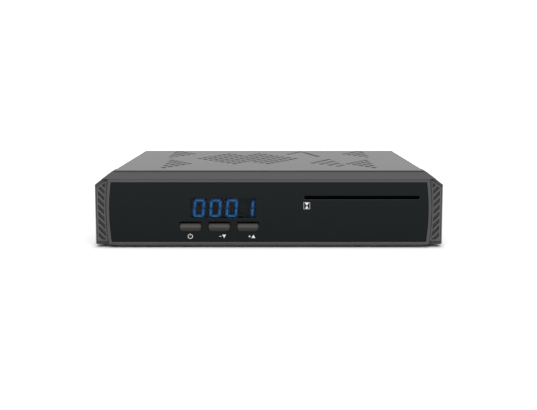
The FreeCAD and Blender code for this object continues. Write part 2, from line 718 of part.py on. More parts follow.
def fascia_frame():
    """Return the moulded surround: sloping band, raised bezel, chin, ears, skirt and tongue."""
    low, high = bezel_z()
    half = PANEL_HALF + BEZEL_SIDE
    core = bowed_prism(half, PANEL_BOW, low, high, BEZEL_Y, CHEEK_Y + CHEEK_BEVEL_DEPTH)
    rim = [e for e in core.Edges if abs(e.CenterOfMass.y - BEZEL_Y) < 0.01]
    core = core.makeFillet(BEZEL_ROUND, rim)
    band = prism_x([(PANEL_Y + BAND_FRONT, BAND_Z), (LID_FRONT, FASCIA_TOP), (LID_FRONT, BAND_Z)],
                   -FASCIA_HALF, FASCIA_HALF)
    outline = fascia_outline(FASCIA_HALF, FASCIA_Z, CORNER_Z, FASCIA_TOP, CORNER_RUN)
    band = band.common(prism_y(outline, BEZEL_Y, LID_FRONT))
    neck = prism_x([(BEZEL_Y + GROOVE_DEPTH, high - 1), (BEZEL_Y + GROOVE_DEPTH, BAND_Z),
                    (LID_FRONT, BAND_Z), (LID_FRONT, high - 1)], -half, half)
    chin_z = FASCIA_Z - CHIN_DROP
    chin_end = FASCIA_HALF - CHIN_INSET
    chin = prism_x([(BEZEL_Y + BEZEL_ROUND, low), (BEZEL_Y + CHIN_SLOPE, chin_z),
                    (LID_FRONT, chin_z), (LID_FRONT, low)], -half, half)
    trough = prism_y([(-chin_end, FASCIA_Z), (-chin_end + CHIN_RUN, chin_z),
                      (chin_end - CHIN_RUN, chin_z), (chin_end, FASCIA_Z), (half, FASCIA_Z),
                      (half, low), (-half, low), (-half, FASCIA_Z)], BEZEL_Y, LID_FRONT)
    chin = chin.common(trough)
    tongue = box(-CASE_INNER + SHEET_GAP, CASE_INNER - SHEET_GAP, LID_FRONT - 1,
                 PANEL_Y + TONGUE_DEPTH, LID_UNDER - TONGUE, LID_UNDER)
    upper = prism_y(outline, CHEEK_Y, LID_FRONT)
    upper = upper.common(box(-FASCIA_HALF, FASCIA_HALF, CHEEK_Y, LID_FRONT, FASCIA_Z, BAND_Z))
    front = cheek_front().common(upper)
    frame = front.fuse([fascia_ears(), core, band, neck, chin, tongue])
    above_band = prism_x([(PANEL_Y + BAND_FRONT, BAND_Z), (LID_FRONT, FASCIA_TOP),
                          (LID_FRONT, LID_TOP), (BEZEL_Y - 1, LID_TOP), (BEZEL_Y - 1, BAND_Z)],
                         -FASCIA_HALF - 1, FASCIA_HALF + 1)
    opening = bowed_prism(PANEL_HALF - PANEL_LEDGE, PANEL_BOW, PANEL_Z0 + PANEL_LEDGE,
                          PANEL_Z1 - PANEL_LEDGE, BEZEL_Y - 1, LID_FRONT + 1)
    pocket = bowed_prism(PANEL_HALF, PANEL_BOW, PANEL_Z0, PANEL_Z1, BEZEL_Y - 1, PANEL_REAR)
    pilot = [rod(SCREW_RADIUS + SCREW_FIT, V(x, FASCIA_SCREW_Y, FASCIA_Z - 1),
                 V(x, FASCIA_SCREW_Y, FLOOR_Z)) for x in FASCIA_SCREW_X]
    right = trim_blank(0, CHEEK_Y - 1, CHEEK_Y + TRIM_THICK)
    return one(frame.cut([above_band, opening, pocket, right, mirrored(right)] + pilot))


def trim_blank(inset, y0, y1):
    """Return the right trim's plate, drawn in by inset on every side."""
    slope = CORNER_RISE / CORNER_RUN
    tilt = math.hypot(1, slope)
    outer = TRIM_OUTER - inset
    inner = TRIM_INNER + inset
    low = FASCIA_Z + TRIM_LOW + inset

    def top(x):
        edge = CORNER_Z + (FASCIA_HALF - x) * slope
        return edge - (TRIM_TOP_INSET + inset) * tilt

    middle = (low + top(inner)) / 2
    bow = Part.Arc(V(inner, y0, top(inner)), V(inner + PANEL_BOW, y0, middle), V(inner, y0, low))
    sides = [Part.makeLine(V(inner, y0, low), V(outer, y0, low)),
             Part.makeLine(V(outer, y0, low), V(outer, y0, top(outer))),
             Part.makeLine(V(outer, y0, top(outer)), V(inner, y0, top(inner))),
             bow.toShape()]
    return Part.Face(Part.Wire(sides)).extrude(V(0, y1 - y0, 0))


def right_trim():
    """Return the right cheek's trim: a rimmed plate with slanting ribs."""
    plate = trim_blank(PANEL_GAP, CHEEK_Y, CHEEK_Y + TRIM_THICK)
    relief = trim_blank(PANEL_GAP + TRIM_RIM, CHEEK_Y - 1, CHEEK_Y + RIB_RELIEF)
    run = TRIM_OUTER - TRIM_INNER
    rib_height = RIB_WIDTH * math.sqrt(2)
    count = math.ceil((FASCIA_TOP - FASCIA_Z + run) / RIB_PITCH)
    ribs = []
    for i in range(count):
        z = FASCIA_Z - run + i * RIB_PITCH
        ribs.append(prism_y([(TRIM_INNER, z), (TRIM_OUTER, z + run),
                             (TRIM_OUTER, z + run + rib_height), (TRIM_INNER, z + rib_height)],
                            CHEEK_Y - 1, CHEEK_Y + RIB_RELIEF))
    return one(plate.cut(relief.cut(ribs)))


def fascia_screws():
    """Return the screws that hold the fascia's skirt to the floor."""
    grip = FASCIA_DROP + SHEET + 0.5
    return group([pan_screw(V(x, FASCIA_SCREW_Y, FASCIA_Z), V(0, 0, 1), grip, FLAT_HEAD_HEIGHT)
                  for x in FASCIA_SCREW_X])


# ---- Front panel, display and buttons -----------------------------------------------------------

def button_prism(x, edge, y0, y1):
    """Return a button's outline as a prism, widened by edge."""
    x0, x1 = x - BUTTON_WIDTH / 2 - edge, x + BUTTON_WIDTH / 2 + edge
    z0, z1 = BUTTON_Z0 - edge, BUTTON_Z1 + edge
    blank = box(x0, x1, y0, y1, z0, z1)
    upright = [e for e in blank.Edges if abs(e.BoundBox.YLength - (y1 - y0)) < 0.001]
    upper = [e for e in upright if e.CenterOfMass.z > BUTTON_Z]
    blank = blank.makeFillet(BUTTON_TOP_ROUND + edge, upper)
    upright = [e for e in blank.Edges if abs(e.CenterOfMass.z - z0) < 0.001
               and abs(e.BoundBox.YLength - (y1 - y0)) < 0.001]
    return blank.makeFillet(BUTTON_LOW_ROUND + edge, upright)


def button(x):
    """Return a push button: crowned cap, retaining flange and stem."""
    front = PANEL_Y - BUTTON_PROUD
    cap = button_prism(x, 0, front, PANEL_REAR + 0.5)
    across = rod(BUTTON_CROWN, V(x - BUTTON_WIDTH, front + BUTTON_CROWN, BUTTON_Z),
                 V(x + BUTTON_WIDTH, front + BUTTON_CROWN, BUTTON_Z))
    along = rod(BUTTON_CROWN_WIDE, V(x, front + BUTTON_CROWN_WIDE, BUTTON_Z - BUTTON_WIDTH),
                V(x, front + BUTTON_CROWN_WIDE, BUTTON_Z + BUTTON_WIDTH))
    cap = cap.common(across).common(along)
    half = BUTTON_WIDTH / 2 + FLANGE_EDGE
    flange = box(x - half, x + half, PANEL_REAR, PANEL_REAR + FLANGE_THICK,
                 BUTTON_Z0 - FLANGE_EDGE, BUTTON_Z1)
    stem = rod(STEM_RADIUS, V(x, PANEL_REAR, BUTTON_Z), V(x, STEM_TIP, BUTTON_Z))
    return one(cap.fuse([flange, stem]))


def switch_body(x):
    """Return the housing of a push switch on the front board."""
    half = SWITCH_WIDTH / 2
    body = box(x - half, x + half, SWITCH_FRONT, FRONT_BOARD_Y, BUTTON_Z - half, BUTTON_Z + half)
    depth = PLUNGER_SUNK + BUTTON_TRAVEL + 0.3
    bore = rod(PLUNGER_RADIUS + PLUNGER_GAP, V(x, SWITCH_FRONT - 1, BUTTON_Z),
               V(x, SWITCH_FRONT + depth, BUTTON_Z))
    return body.cut(bore)


def plunger(x):
    """Return the moving plunger of a push switch."""
    return rod(PLUNGER_RADIUS, V(x, STEM_TIP, BUTTON_Z),
               V(x, SWITCH_FRONT + PLUNGER_SUNK, BUTTON_Z))


def display_box():
    """Return the (x0, x1, z0, z1) of the display's housing."""
    x0 = DIGIT_X[0] - DISPLAY_MARGIN
    x1 = DIGIT_X[-1] + DISPLAY_MARGIN
    half = DISPLAY_BODY_HEIGHT / 2
    return x0, x1, DIGIT_Z - half, DIGIT_Z + half


def window_box(edge):
    """Return the (x0, x1, z0, z1) of the window in front of the digits, widened by edge."""
    half_width = DIGIT_WIDTH / 2 + WINDOW_MARGIN + edge
    half = DIGIT_HEIGHT / 2 + WINDOW_MARGIN + edge
    return DIGIT_X[0] - half_width, DIGIT_X[-1] + half_width, DIGIT_Z - half, DIGIT_Z + half


def boss_centres():
    """Return the (x, z) of the bosses that carry the front board."""
    xs = (FRONT_BOARD_LEFT + BOSS_INSET, BOSS_RIGHT)
    return [(x, z) for x in xs for z in (BOSS_LOW, BOSS_TOP)]


def front_panel():
    """Return the black panel with its button holes, window hole, card slot and bosses."""
    plate = bowed_prism(PANEL_HALF - PANEL_GAP, PANEL_BOW, PANEL_Z0 + PANEL_GAP,
                        PANEL_Z1 - PANEL_GAP, PANEL_Y, PANEL_REAR)
    bosses = [rod(BOSS_RADIUS, V(x, PANEL_Y + PANEL_THICK / 2, z), V(x, FRONT_BOARD_Y, z))
              for x, z in boss_centres()]
    radius = SLOT_HEIGHT / 2
    holes = [button_prism(x, BUTTON_GAP, PANEL_Y - 1, PANEL_REAR + 1) for x in BUTTON_X]
    cuts = holes + [hole.translated(V(0, 0, BUTTON_HEADROOM)) for hole in holes]
    x0, x1, z0, z1 = window_box(WINDOW_FIT)
    cuts.append(box(x0, x1, PANEL_Y - 1, PANEL_REAR + 1, z0, z1))
    cuts.append(stadium_y(SLOT_LEFT, SLOT_RIGHT, SLOT_Z, radius, PANEL_Y - 1, PANEL_REAR + 1))
    cuts.append(stadium_y(SLOT_LEFT - SLOT_EDGE, SLOT_RIGHT + SLOT_EDGE, SLOT_Z,
                          radius + SLOT_EDGE, PANEL_Y - 1, PANEL_Y + SLOT_EDGE_DEPTH))
    cuts += [rod(BOSS_SCREW_RADIUS, V(x, FRONT_BOARD_Y - SCREW_LENGTH - 0.5, z),
                 V(x, FRONT_BOARD_Y + 1, z)) for x, z in boss_centres()]
    return one(plate.fuse(bosses).cut(cuts))


def display_window():
    """Return the smoked window, flush with the panel."""
    x0, x1, z0, z1 = window_box(0)
    return box(x0, x1, PANEL_Y, PANEL_REAR, z0, z1)


def display_body():
    """Return the housing of the four-digit display."""
    x0, x1, z0, z1 = display_box()
    return box(x0, x1, DISPLAY_FACE, FRONT_BOARD_Y, z0, z1)


SEGMENTS_OF_DIGIT = {0: "abcdef", 1: "bc", 2: "abdeg", 3: "abcdg", 4: "bcfg", 5: "acdfg",
                     6: "acdefg", 7: "abc", 8: "abcdefg", 9: "abcdfg"}


def segment(letter, x):
    """Return one of the seven bars of a slanting digit whose middle is at x."""
    half_w = (DIGIT_WIDTH - SEGMENT) / 2
    half_h = (DIGIT_HEIGHT - SEGMENT) / 2
    ends = {"a": ((-half_w, half_h), (half_w, half_h)), "b": ((half_w, half_h), (half_w, 0)),
            "c": ((half_w, 0), (half_w, -half_h)), "d": ((-half_w, -half_h), (half_w, -half_h)),
            "e": ((-half_w, 0), (-half_w, -half_h)), "f": ((-half_w, half_h), (-half_w, 0)),
            "g": ((-half_w, 0), (half_w, 0))}
    (ax, az), (bx, bz) = ends[letter]
    length = math.hypot(bx - ax, bz - az)
    ux, uz = (bx - ax) / length, (bz - az) / length
    point = SEGMENT_GAP
    body = point + SEGMENT / 2
    flat = []
    for along, across in ((point, 0), (body, 1), (length - body, 1), (length - point, 0),
                          (length - body, -1), (body, -1)):
        dx = ax + ux * along - uz * across * SEGMENT / 2
        dz = az + uz * along + ux * across * SEGMENT / 2
        flat.append((x + dx + dz * math.tan(math.radians(DIGIT_SLANT)), DIGIT_Z + dz))
    return prism_y(flat, SEGMENT_Y, DISPLAY_FACE)


def digit_segments(lit):
    """Return the bars that glow, or those that stay dark, with the four points."""
    bars = []
    for x, digit in zip(DIGIT_X, SHOWN_DIGITS):
        for letter in "abcdefg":
            if (letter in SEGMENTS_OF_DIGIT[digit]) == lit:
                bars.append(segment(letter, x))
        if not lit:
            z = DIGIT_Z - DIGIT_HEIGHT / 2 + SEGMENT / 2
            px = x + DIGIT_PITCH / 2 - SEGMENT / 2
            bars.append(rod(SEGMENT / 2, V(px, SEGMENT_Y, z), V(px, DISPLAY_FACE, z)))
    return group(bars)


def front_board():
    """Return the board behind the panel, held by four screws."""
    board = box(FRONT_BOARD_LEFT, FRONT_BOARD_RIGHT, FRONT_BOARD_Y, FRONT_BOARD_REAR,
                FRONT_BOARD_LOW, FRONT_BOARD_TOP)
    holes = [rod(BOSS_SCREW_RADIUS + SCREW_FIT, V(x, FRONT_BOARD_Y - 1, z),
                 V(x, FRONT_BOARD_REAR + 1, z)) for x, z in boss_centres()]
    return one(board.cut(holes))


def front_board_screws():
    """Return the four small screws of the front board."""
    screws = []
    for x, z in boss_centres():
        seat = V(x, FRONT_BOARD_REAR, z)
        shank = rod(BOSS_SCREW_RADIUS, V(x, FRONT_BOARD_Y - SCREW_LENGTH, z), seat)
        head = rod(BOSS_RADIUS, seat, seat + V(0, BOSS_SCREW_HEAD, 0))
        screws.append(one(shank.fuse(head)))
    return group(screws)


def infrared_receiver():
    """Return the domed receiver of the remote control."""
    x = FRONT_BOARD_LEFT + 9.5
    body = box(x - 2.5, x + 2.5, FRONT_BOARD_Y - 4.0, FRONT_BOARD_Y, DIGIT_Z - 3.2, DIGIT_Z + 3.2)
    lens = Part.makeSphere(2.1, V(x, FRONT_BOARD_Y - 4.0, DIGIT_Z + 0.4))
    return one(body.fuse(lens))


# ---- Boards and what stands on them -------------------------------------------------------------

def pillar_centres():
    """Return the (x, y) of the chassis pillars."""
    return [(x, y) for x in PILLAR_X for y in PILLAR_Y]


def main_board():
    """Return the main board with its screw holes."""
    board = box(BOARD_X0, BOARD_X1, BOARD_Y0, BOARD_Y1, BOARD_Z, BOARD_TOP)
    holes = [rod(SCREW_RADIUS + SCREW_FIT, V(x, y, BOARD_Z - 1), V(x, y, BOARD_TOP + 1))
             for x, y in pillar_centres()]
    return one(board.cut(holes))


def board_screws():
    """Return the screws of the main board."""
    return group([pan_screw(V(x, y, BOARD_TOP), V(0, 0, -1), BOARD + SCREW_LENGTH - 0.5)
                  for x, y in pillar_centres()])


def ribbon_header(y0, y1, z0, z1):
    """Return a header for the ribbon cable."""
    half = RIBBON_WIDTH / 2 + HEADER_EDGE
    return box(RIBBON_X - half, RIBBON_X + half, y0, y1, z0, z1)


def ribbon_cable():
    """Return the flat cable, bent once between its two headers."""
    y0 = FRONT_BOARD_REAR + HEADER
    z1 = RIBBON_TOP
    radius = min(RIBBON_BACK - y0, z1 - BOARD_TOP - HEADER) - RIBBON_STRAIGHT
    y2 = RIBBON_BACK
    z2 = BOARD_TOP + HEADER

    def bend(r):
        start = V(0, y2 - radius, z1 - radius + r)
        end = V(0, y2 - radius + r, z1 - radius)
        half = r * math.sqrt(0.5)
        return start, V(0, y2 - radius + half, z1 - radius + half), end

    outer, inner = bend(radius + RIBBON_THICK / 2), bend(radius - RIBBON_THICK / 2)
    up = V(0, 0, 1)
    edges = [Part.makeLine(V(0, y0, outer[0].z), outer[0]), Part.Arc(*outer).toShape(),
             Part.makeLine(outer[2], V(0, outer[2].y, z2)),
             Part.makeLine(V(0, outer[2].y, z2), V(0, inner[2].y, z2)),
             Part.makeLine(V(0, inner[2].y, z2), inner[2]),
             Part.Arc(inner[2], inner[1], inner[0]).toShape(),
             Part.makeLine(inner[0], V(0, y0, inner[0].z)),
             Part.makeLine(V(0, y0, inner[0].z), V(0, y0, inner[0].z) + up * RIBBON_THICK)]
    face = Part.Face(Part.Wire(edges))
    face.translate(V(RIBBON_X - RIBBON_WIDTH / 2, 0, 0))
    return face.extrude(V(RIBBON_WIDTH, 0, 0))


def processor():
    """Return the main chip."""
    half = CHIP / 2
    return box(CHIP_X - half, CHIP_X + half, CHIP_Y - half, CHIP_Y + half, BOARD_TOP,
               BOARD_TOP + CHIP_THICK)


def heatsink():
    """Return the finned heatsink on the main chip."""
    half = SINK / 2
    z0 = BOARD_TOP + CHIP_THICK
    parts = [box(CHIP_X - half, CHIP_X + half, CHIP_Y - half, CHIP_Y + half, z0, z0 + SINK_BASE)]
    pitch = (SINK - SINK_FIN) / (SINK_FINS - 1)
    for i in range(SINK_FINS):
        x = CHIP_X - half + i * pitch
        parts.append(box(x, x + SINK_FIN, CHIP_Y - half, CHIP_Y + half, z0 + SINK_BASE / 2,
                         z0 + SINK_HEIGHT))
    return one(parts[0].fuse(parts[1:]))


def chip_row(x, y, count, size, pitch):
    """Return a row of flat chips along X, each size (width, depth, height)."""
    width, depth, height = size
    return [box(x + i * pitch, x + i * pitch + width, y, y + depth, BOARD_TOP, BOARD_TOP + height)
            for i in range(count)]


def memory_chips():
    """Return the memory chips in front of the processor."""
    y = CHIP_Y - SINK / 2 - MEMORY_GAP - MEMORY_CHIP[1]
    return group(chip_row(CHIP_X - SINK / 2, y, 2, MEMORY_CHIP, MEMORY_PITCH))


def small_chips():
    """Return the regulators and interface chips."""
    inset_x, inset_y = REGULATOR_INSET
    chips = chip_row(BOARD_X0 + inset_x, BOARD_Y0 + inset_y, 3, REGULATOR_CHIP, REGULATOR_PITCH)
    offset_x, offset_y = INTERFACE_OFFSET
    chips += chip_row(CHIP_X + SINK / 2 + offset_x, CHIP_Y + offset_y, 2, INTERFACE_CHIP,
                      INTERFACE_PITCH)
    return group(chips)


def can(x, y, radius, height):
    """Return one upright round component on the main board."""
    return rod(radius, V(x, y, BOARD_TOP), V(x, y, BOARD_TOP + height))


def filter_capacitors():
    """Return the round capacitors by the tuner and on the way from the DC inlet."""
    cans = [can(BOARD_X0 + SMALL_CAN_INSET + i * SMALL_CAN_PITCH, CHIP_Y - SMALL_CAN_OFFSET,
                SMALL_CAN_RADIUS, SMALL_CAN_HEIGHT) for i in range(3)]
    cans += [can(DC_X - LARGE_CAN_OFFSET - i * LARGE_CAN_PITCH, LARGE_CAN_Y, LARGE_CAN_RADIUS,
                 LARGE_CAN_HEIGHT) for i in range(3)]
    return group(cans)


def power_inductors():
    """Return the square inductors of the voltage converters."""
    coils = []
    for i in range(3):
        x = DC_X - COIL_OFFSET - i * COIL_PITCH
        blank = box(x - COIL / 2, x + COIL / 2, COIL_Y, COIL_Y + COIL, BOARD_TOP,
                    BOARD_TOP + COIL_HEIGHT)
        upright = [e for e in blank.Edges if abs(e.BoundBox.ZLength - COIL_HEIGHT) < 0.01]
        coils.append(blank.makeChamfer(COIL_CHAMFER, upright))
    return group(coils)


def crystal():
    """Return the clock crystal in its oval can."""
    width, depth, height = CRYSTAL
    x1 = CHIP_X - SINK / 2 - CRYSTAL_GAP
    return box(x1 - width, x1, CHIP_Y - depth / 2, CHIP_Y + depth / 2, BOARD_TOP,
               BOARD_TOP + height)


# ---- Connectors in the rear wall ----------------------------------------------------------------

def tuner_can():
    """Return the tuner's screening can with the holes of its two connectors."""
    y1 = WALL_INNER - REAR_GAP
    body = box(TUNER_X0, TUNER_X0 + TUNER_WIDTH, y1 - TUNER_DEPTH, y1 - F_NUT, BOARD_TOP,
               BOARD_TOP + TUNER_HEIGHT)
    sockets = [rod(F_SHOULDER, V(x, y1 - F_NUT - F_ROOT, F_Z), V(x, y1, F_Z)) for x in F_X]
    return one(body.cut(sockets))


def f_connector(x):
    """Return a threaded F connector with its nut against the rear wall."""
    start = WALL_INNER - REAR_GAP - F_NUT
    tip = WALL_OUTER + F_REACH
    shoulder = rod(F_SHOULDER, V(x, start - F_ROOT, F_Z), V(x, WALL_OUTER, F_Z))
    barrel = rod(F_THREAD_RADIUS, V(x, start, F_Z), V(x, tip, F_Z))
    corners = []
    for i in range(6):
        angle = math.radians(60 * i)
        corners.append((x + F_NUT_RADIUS * math.cos(angle), F_Z + F_NUT_RADIUS * math.sin(angle)))
    nut = prism_y(corners, start, WALL_INNER - REAR_GAP)
    bore = rod(F_BORE, V(x, start - F_ROOT + 1, F_Z), V(x, tip + 1, F_Z))
    return one(shoulder.fuse([barrel, nut]).cut(bore))


def f_insulator(x):
    """Return the insulator with the contact hole of an F connector."""
    start = WALL_INNER - REAR_GAP - F_NUT - F_ROOT + 1
    tip = WALL_OUTER + F_REACH - 0.6
    plug = rod(F_BORE, V(x, start, F_Z), V(x, tip, F_Z))
    return plug.cut(rod(F_CONTACT, V(x, tip - 6.0, F_Z), V(x, tip + 1, F_Z)))


def metal_socket(x0, width, height, depth, floor_gap):
    """Return a folded metal socket shell, open at the back of the case."""
    y1 = WALL_OUTER + SOCKET_PROUD
    z1 = BOARD_TOP + height
    shell = box(x0, x0 + width, y1 - depth, y1, BOARD_TOP, z1)
    room = box(x0 + SOCKET_SHELL, x0 + width - SOCKET_SHELL, y1 - depth + SOCKET_BACK, y1 + 1,
               BOARD_TOP + floor_gap, z1 - SOCKET_SHELL)
    return shell.cut(room)


def socket_tongue(x0, width, height, depth, floor_gap, thick, side_gap):
    """Return the contact tongue of a metal socket, seated against its rear."""
    y1 = WALL_OUTER + SOCKET_PROUD
    middle = (BOARD_TOP + floor_gap + BOARD_TOP + height - SOCKET_SHELL) / 2
    return box(x0 + side_gap, x0 + width - side_gap, y1 - depth + SOCKET_BACK,
               y1 - TONGUE_SETBACK, middle - thick / 2, middle + thick / 2)


def scart_slots():
    """Return the (x, z) centres of the SCART socket's contact slots."""
    x = SCART_X0 + SCART_WIDTH / 2
    z = BOARD_TOP + SCART_HEIGHT / 2
    upper = [(x + (i - 4.5) * SCART_PITCH, z + SCART_ROW / 2) for i in range(10)]
    lower = [(x + (i - 4.5) * SCART_PITCH - SCART_SHIFT, z - SCART_ROW / 2) for i in range(10)]
    return upper + lower


def scart_socket():
    """Return the SCART socket: a block with a slanting channel and two rows of slots."""
    y1 = WALL_OUTER + SOCKET_PROUD
    y0 = y1 - SCART_DEPTH
    x0, x1 = SCART_X0, SCART_X0 + SCART_WIDTH
    z0, z1 = BOARD_TOP, BOARD_TOP + SCART_HEIGHT
    block = box(x0, x1, y0, y1, z0, z1)

    def island(edge, start, end):
        left, right = x0 + edge, x1 - edge
        low, high = z0 + edge * 0.8, z1 - edge * 0.8
        return prism_y([(left + SCART_CORNER, low), (right, low), (right, high), (left, high),
                        (left, low + SCART_CORNER)], start, end)

    channel = island(SCART_RIM, y1 - SCART_CHANNEL, y1 + 1)
    channel = channel.cut(island(SCART_ISLAND, y1 - SCART_CHANNEL - 1, y1 + 2))
    slots = [box(x - 0.5, x + 0.5, y1 - SCART_SLOT, y1 + 1, z - 1.3, z + 1.3)
             for x, z in scart_slots()]
    return one(block.cut([channel] + slots))


def scart_contacts():
    """Return the contact springs at the bottom of the SCART slots."""
    y0 = WALL_OUTER + SOCKET_PROUD - SCART_SLOT
    return group([box(x - 0.3, x + 0.3, y0, y0 + 1.2, z - 1.1, z + 1.1) for x, z in scart_slots()])


def audio_jack():
    """Return the coaxial digital audio jack."""
    y1 = WALL_INNER - REAR_GAP
    body = box(RCA_X0, RCA_X0 + RCA_BODY, y1 - 12.0, y1, BOARD_TOP, BOARD_TOP + 13.0)
    tip = WALL_OUTER + RCA_REACH
    shoulder = rod(RCA_SHOULDER, V(RCA_X, y1 - 1, RCA_Z), V(RCA_X, WALL_OUTER, RCA_Z))
    barrel = rod(RCA_RADIUS, V(RCA_X, y1 - 1, RCA_Z), V(RCA_X, tip, RCA_Z))
    bore = rod(RCA_BORE, V(RCA_X, y1 - 2, RCA_Z), V(RCA_X, tip + 1, RCA_Z))
    return one(body.fuse([shoulder, barrel]).cut(bore))


def audio_jack_insulator():
    """Return the insulator and contact hole of the audio jack."""
    start = WALL_INNER - REAR_GAP - 2
    tip = WALL_OUTER + RCA_REACH - 0.8
    plug = rod(RCA_BORE, V(RCA_X, start, RCA_Z), V(RCA_X, tip, RCA_Z))
    return plug.cut(rod(RCA_CONTACT, V(RCA_X, tip - 7.0, RCA_Z), V(RCA_X, tip + 1, RCA_Z)))


def dc_inlet():
    """Return the round DC inlet."""
    y1 = WALL_INNER - REAR_GAP
    body = box(DC_X0, DC_X0 + DC_WIDTH, y1 - DC_DEPTH, y1, BOARD_TOP, BOARD_TOP + DC_HEIGHT)
    collar = rod(DC_BORE + DC_COLLAR, V(DC_X, y1 - 1, DC_Z), V(DC_X, WALL_OUTER + DC_PROUD, DC_Z))
    bore = rod(DC_BORE, V(DC_X, y1 - DC_BORE_DEPTH, DC_Z), V(DC_X, WALL_OUTER + 1, DC_Z))
    return one(body.fuse(collar).cut(bore))


def dc_pin():
    """Return the centre pin of the DC inlet."""
    y1 = WALL_INNER - REAR_GAP
    return rod(DC_PIN, V(DC_X, y1 - DC_BORE_DEPTH, DC_Z), V(DC_X, y1 - 0.5, DC_Z))


# ---- Card reader --------------------------------------------------------------------------------

def contact_centres():
    """Return the (x, y) of the reader's contacts."""
    y = READER_Y1 - READER_STOP - CONTACT_SETBACK
    return [(CARD_X + (i - 1.5) * CONTACT_PITCH_X, y + side * CONTACT_PITCH_Y / 2)
            for side in (-1, 1) for i in range(4)]


def contact_bar(x, y):
    """Return one contact strip of the card reader."""
    return box(x - CONTACT_WIDTH / 2, x + CONTACT_WIDTH / 2, y - CONTACT_LENGTH / 2,
               y + CONTACT_LENGTH / 2, CHANNEL_Z0 - CONTACT_THICK, CHANNEL_Z0)


def card_reader_body():
    """Return the reader's housing with the channel that the card slides into."""
    body = box(READER_X0, READER_X1, PANEL_REAR, READER_Y1, READER_Z0, READER_Z1)
    channel = box(CARD_X - CHANNEL_HALF, CARD_X + CHANNEL_HALF, PANEL_REAR - 1,
                  READER_Y1 - READER_STOP, CHANNEL_Z0, CHANNEL_Z1)
    funnel = stadium_y(SLOT_LEFT, SLOT_RIGHT, SLOT_Z, SLOT_HEIGHT / 2, PANEL_REAR - 1,
                       PANEL_REAR + FUNNEL_DEPTH)
    beds = [contact_bar(x, y) for x, y in contact_centres()]
    return one(body.cut([channel, funnel] + beds))


def card_reader_contacts():
    """Return the eight contact strips."""
    return group([contact_bar(x, y) for x, y in contact_centres()])


def card_pillar_centres():
    """Return the (x, y) of the pillars under the card board, clear of the main board's screws."""
    xs = (READER_X0 + CARD_PILLAR_INSET, READER_X1 - CARD_PILLAR_RIGHT)
    ys = (BOARD_Y0 + CARD_PILLAR_FRONT, CARD_BOARD_Y1 - CARD_PILLAR_BACK)
    return [(x, y) for x in xs for y in ys]


def card_board():
    """Return the raised board under the card reader."""
    return box(READER_X0, READER_X1, CARD_BOARD_Y0, CARD_BOARD_Y1, CARD_BOARD_Z, READER_Z0)


def card_board_pillars():
    """Return the pillars between the main board and the card board."""
    return group([rod(CARD_PILLAR_RADIUS, V(x, y, BOARD_TOP), V(x, y, CARD_BOARD_Z))
                  for x, y in card_pillar_centres()])


def card_board_header():
    """Return the header that joins the card board to the main board."""
    x0 = (READER_X0 + READER_X1 - CARD_HEADER_WIDTH) / 2 - CARD_PILLAR_INSET
    y1 = CARD_BOARD_Y1 - CARD_BOARD_GAP
    return box(x0, x0 + CARD_HEADER_WIDTH, y1 - CARD_HEADER_DEPTH, y1, BOARD_TOP, CARD_BOARD_Z)


# ---- Assembly -----------------------------------------------------------------------------------

def build():
    """Return every node's shape by name."""
    trim = right_trim()
    nodes = {
        "top_cover": top_cover(),
        "chassis_base": chassis_base(),
        "cover_screws": group([pan_screw(seat, way, SCREW_LENGTH)
                               for seat, way in side_screw_axes() + rear_screw_axes()]),
        "fascia_frame": fascia_frame(),
        "fascia_screws": fascia_screws(),
        "right_cheek_trim": trim,
        "left_cheek_trim": mirrored(trim),
        "front_panel": front_panel(),
        "display_window": display_window(),
        "display_body": display_body(),
        "segments_lit": digit_segments(True),
        "segments_unlit": digit_segments(False),
        "front_board": front_board(),
        "front_board_screws": front_board_screws(),
        "infrared_receiver": infrared_receiver(),
        "key_switch_bodies": group([switch_body(x) for x in BUTTON_X]),
        "ribbon_cable": ribbon_cable(),
        "front_ribbon_header": ribbon_header(FRONT_BOARD_REAR, FRONT_BOARD_REAR + HEADER,
                                             RIBBON_TOP - HEADER_WIDTH / 2,
                                             RIBBON_TOP + HEADER_WIDTH / 2),
        "main_ribbon_header": ribbon_header(RIBBON_BACK - HEADER_WIDTH / 2,
                                            RIBBON_BACK + HEADER_WIDTH / 2, BOARD_TOP,
                                            BOARD_TOP + HEADER),
        "main_board": main_board(),
        "board_screws": board_screws(),
        "processor": processor(),
        "heatsink": heatsink(),
        "memory_chips": memory_chips(),
        "small_chips": small_chips(),
        "filter_capacitors": filter_capacitors(),
        "power_inductors": power_inductors(),
        "crystal": crystal(),
        "tuner_can": tuner_can(),
        "lnb_input_connector": f_connector(F_X[0]),
        "loop_output_connector": f_connector(F_X[1]),
        "f_insulators": group([f_insulator(x) for x in F_X]),
        "hdmi_socket": metal_socket(HDMI_X0, HDMI_WIDTH, HDMI_HEIGHT, HDMI_DEPTH, HDMI_FLOOR),
        "hdmi_tongue": socket_tongue(HDMI_X0, HDMI_WIDTH, HDMI_HEIGHT, HDMI_DEPTH, HDMI_FLOOR,
                                     HDMI_TONGUE, HDMI_TONGUE_GAP),
        "usb_socket": metal_socket(USB_X0, USB_WIDTH, USB_HEIGHT, USB_DEPTH, USB_FLOOR),
        "usb_tongue": socket_tongue(USB_X0, USB_WIDTH, USB_HEIGHT, USB_DEPTH, USB_FLOOR,
                                    USB_TONGUE, USB_TONGUE_GAP),
        "scart_socket": scart_socket(),
        "scart_contacts": scart_contacts(),
        "digital_audio_jack": audio_jack(),
        "audio_jack_insulator": audio_jack_insulator(),
        "dc_inlet": dc_inlet(),
        "dc_inlet_pin": dc_pin(),
        "card_reader_body": card_reader_body(),
        "card_reader_contacts": card_reader_contacts(),
        "card_board": card_board(),
        "card_board_pillars": card_board_pillars(),
        "card_board_header": card_board_header(),
    }
    nodes.update(feet())
    for name, x in zip(("power", "channel_down", "channel_up"), BUTTON_X):
        nodes[name + "_button"] = button(x)
        nodes[name + "_plunger"] = plunger(x)
    return nodes


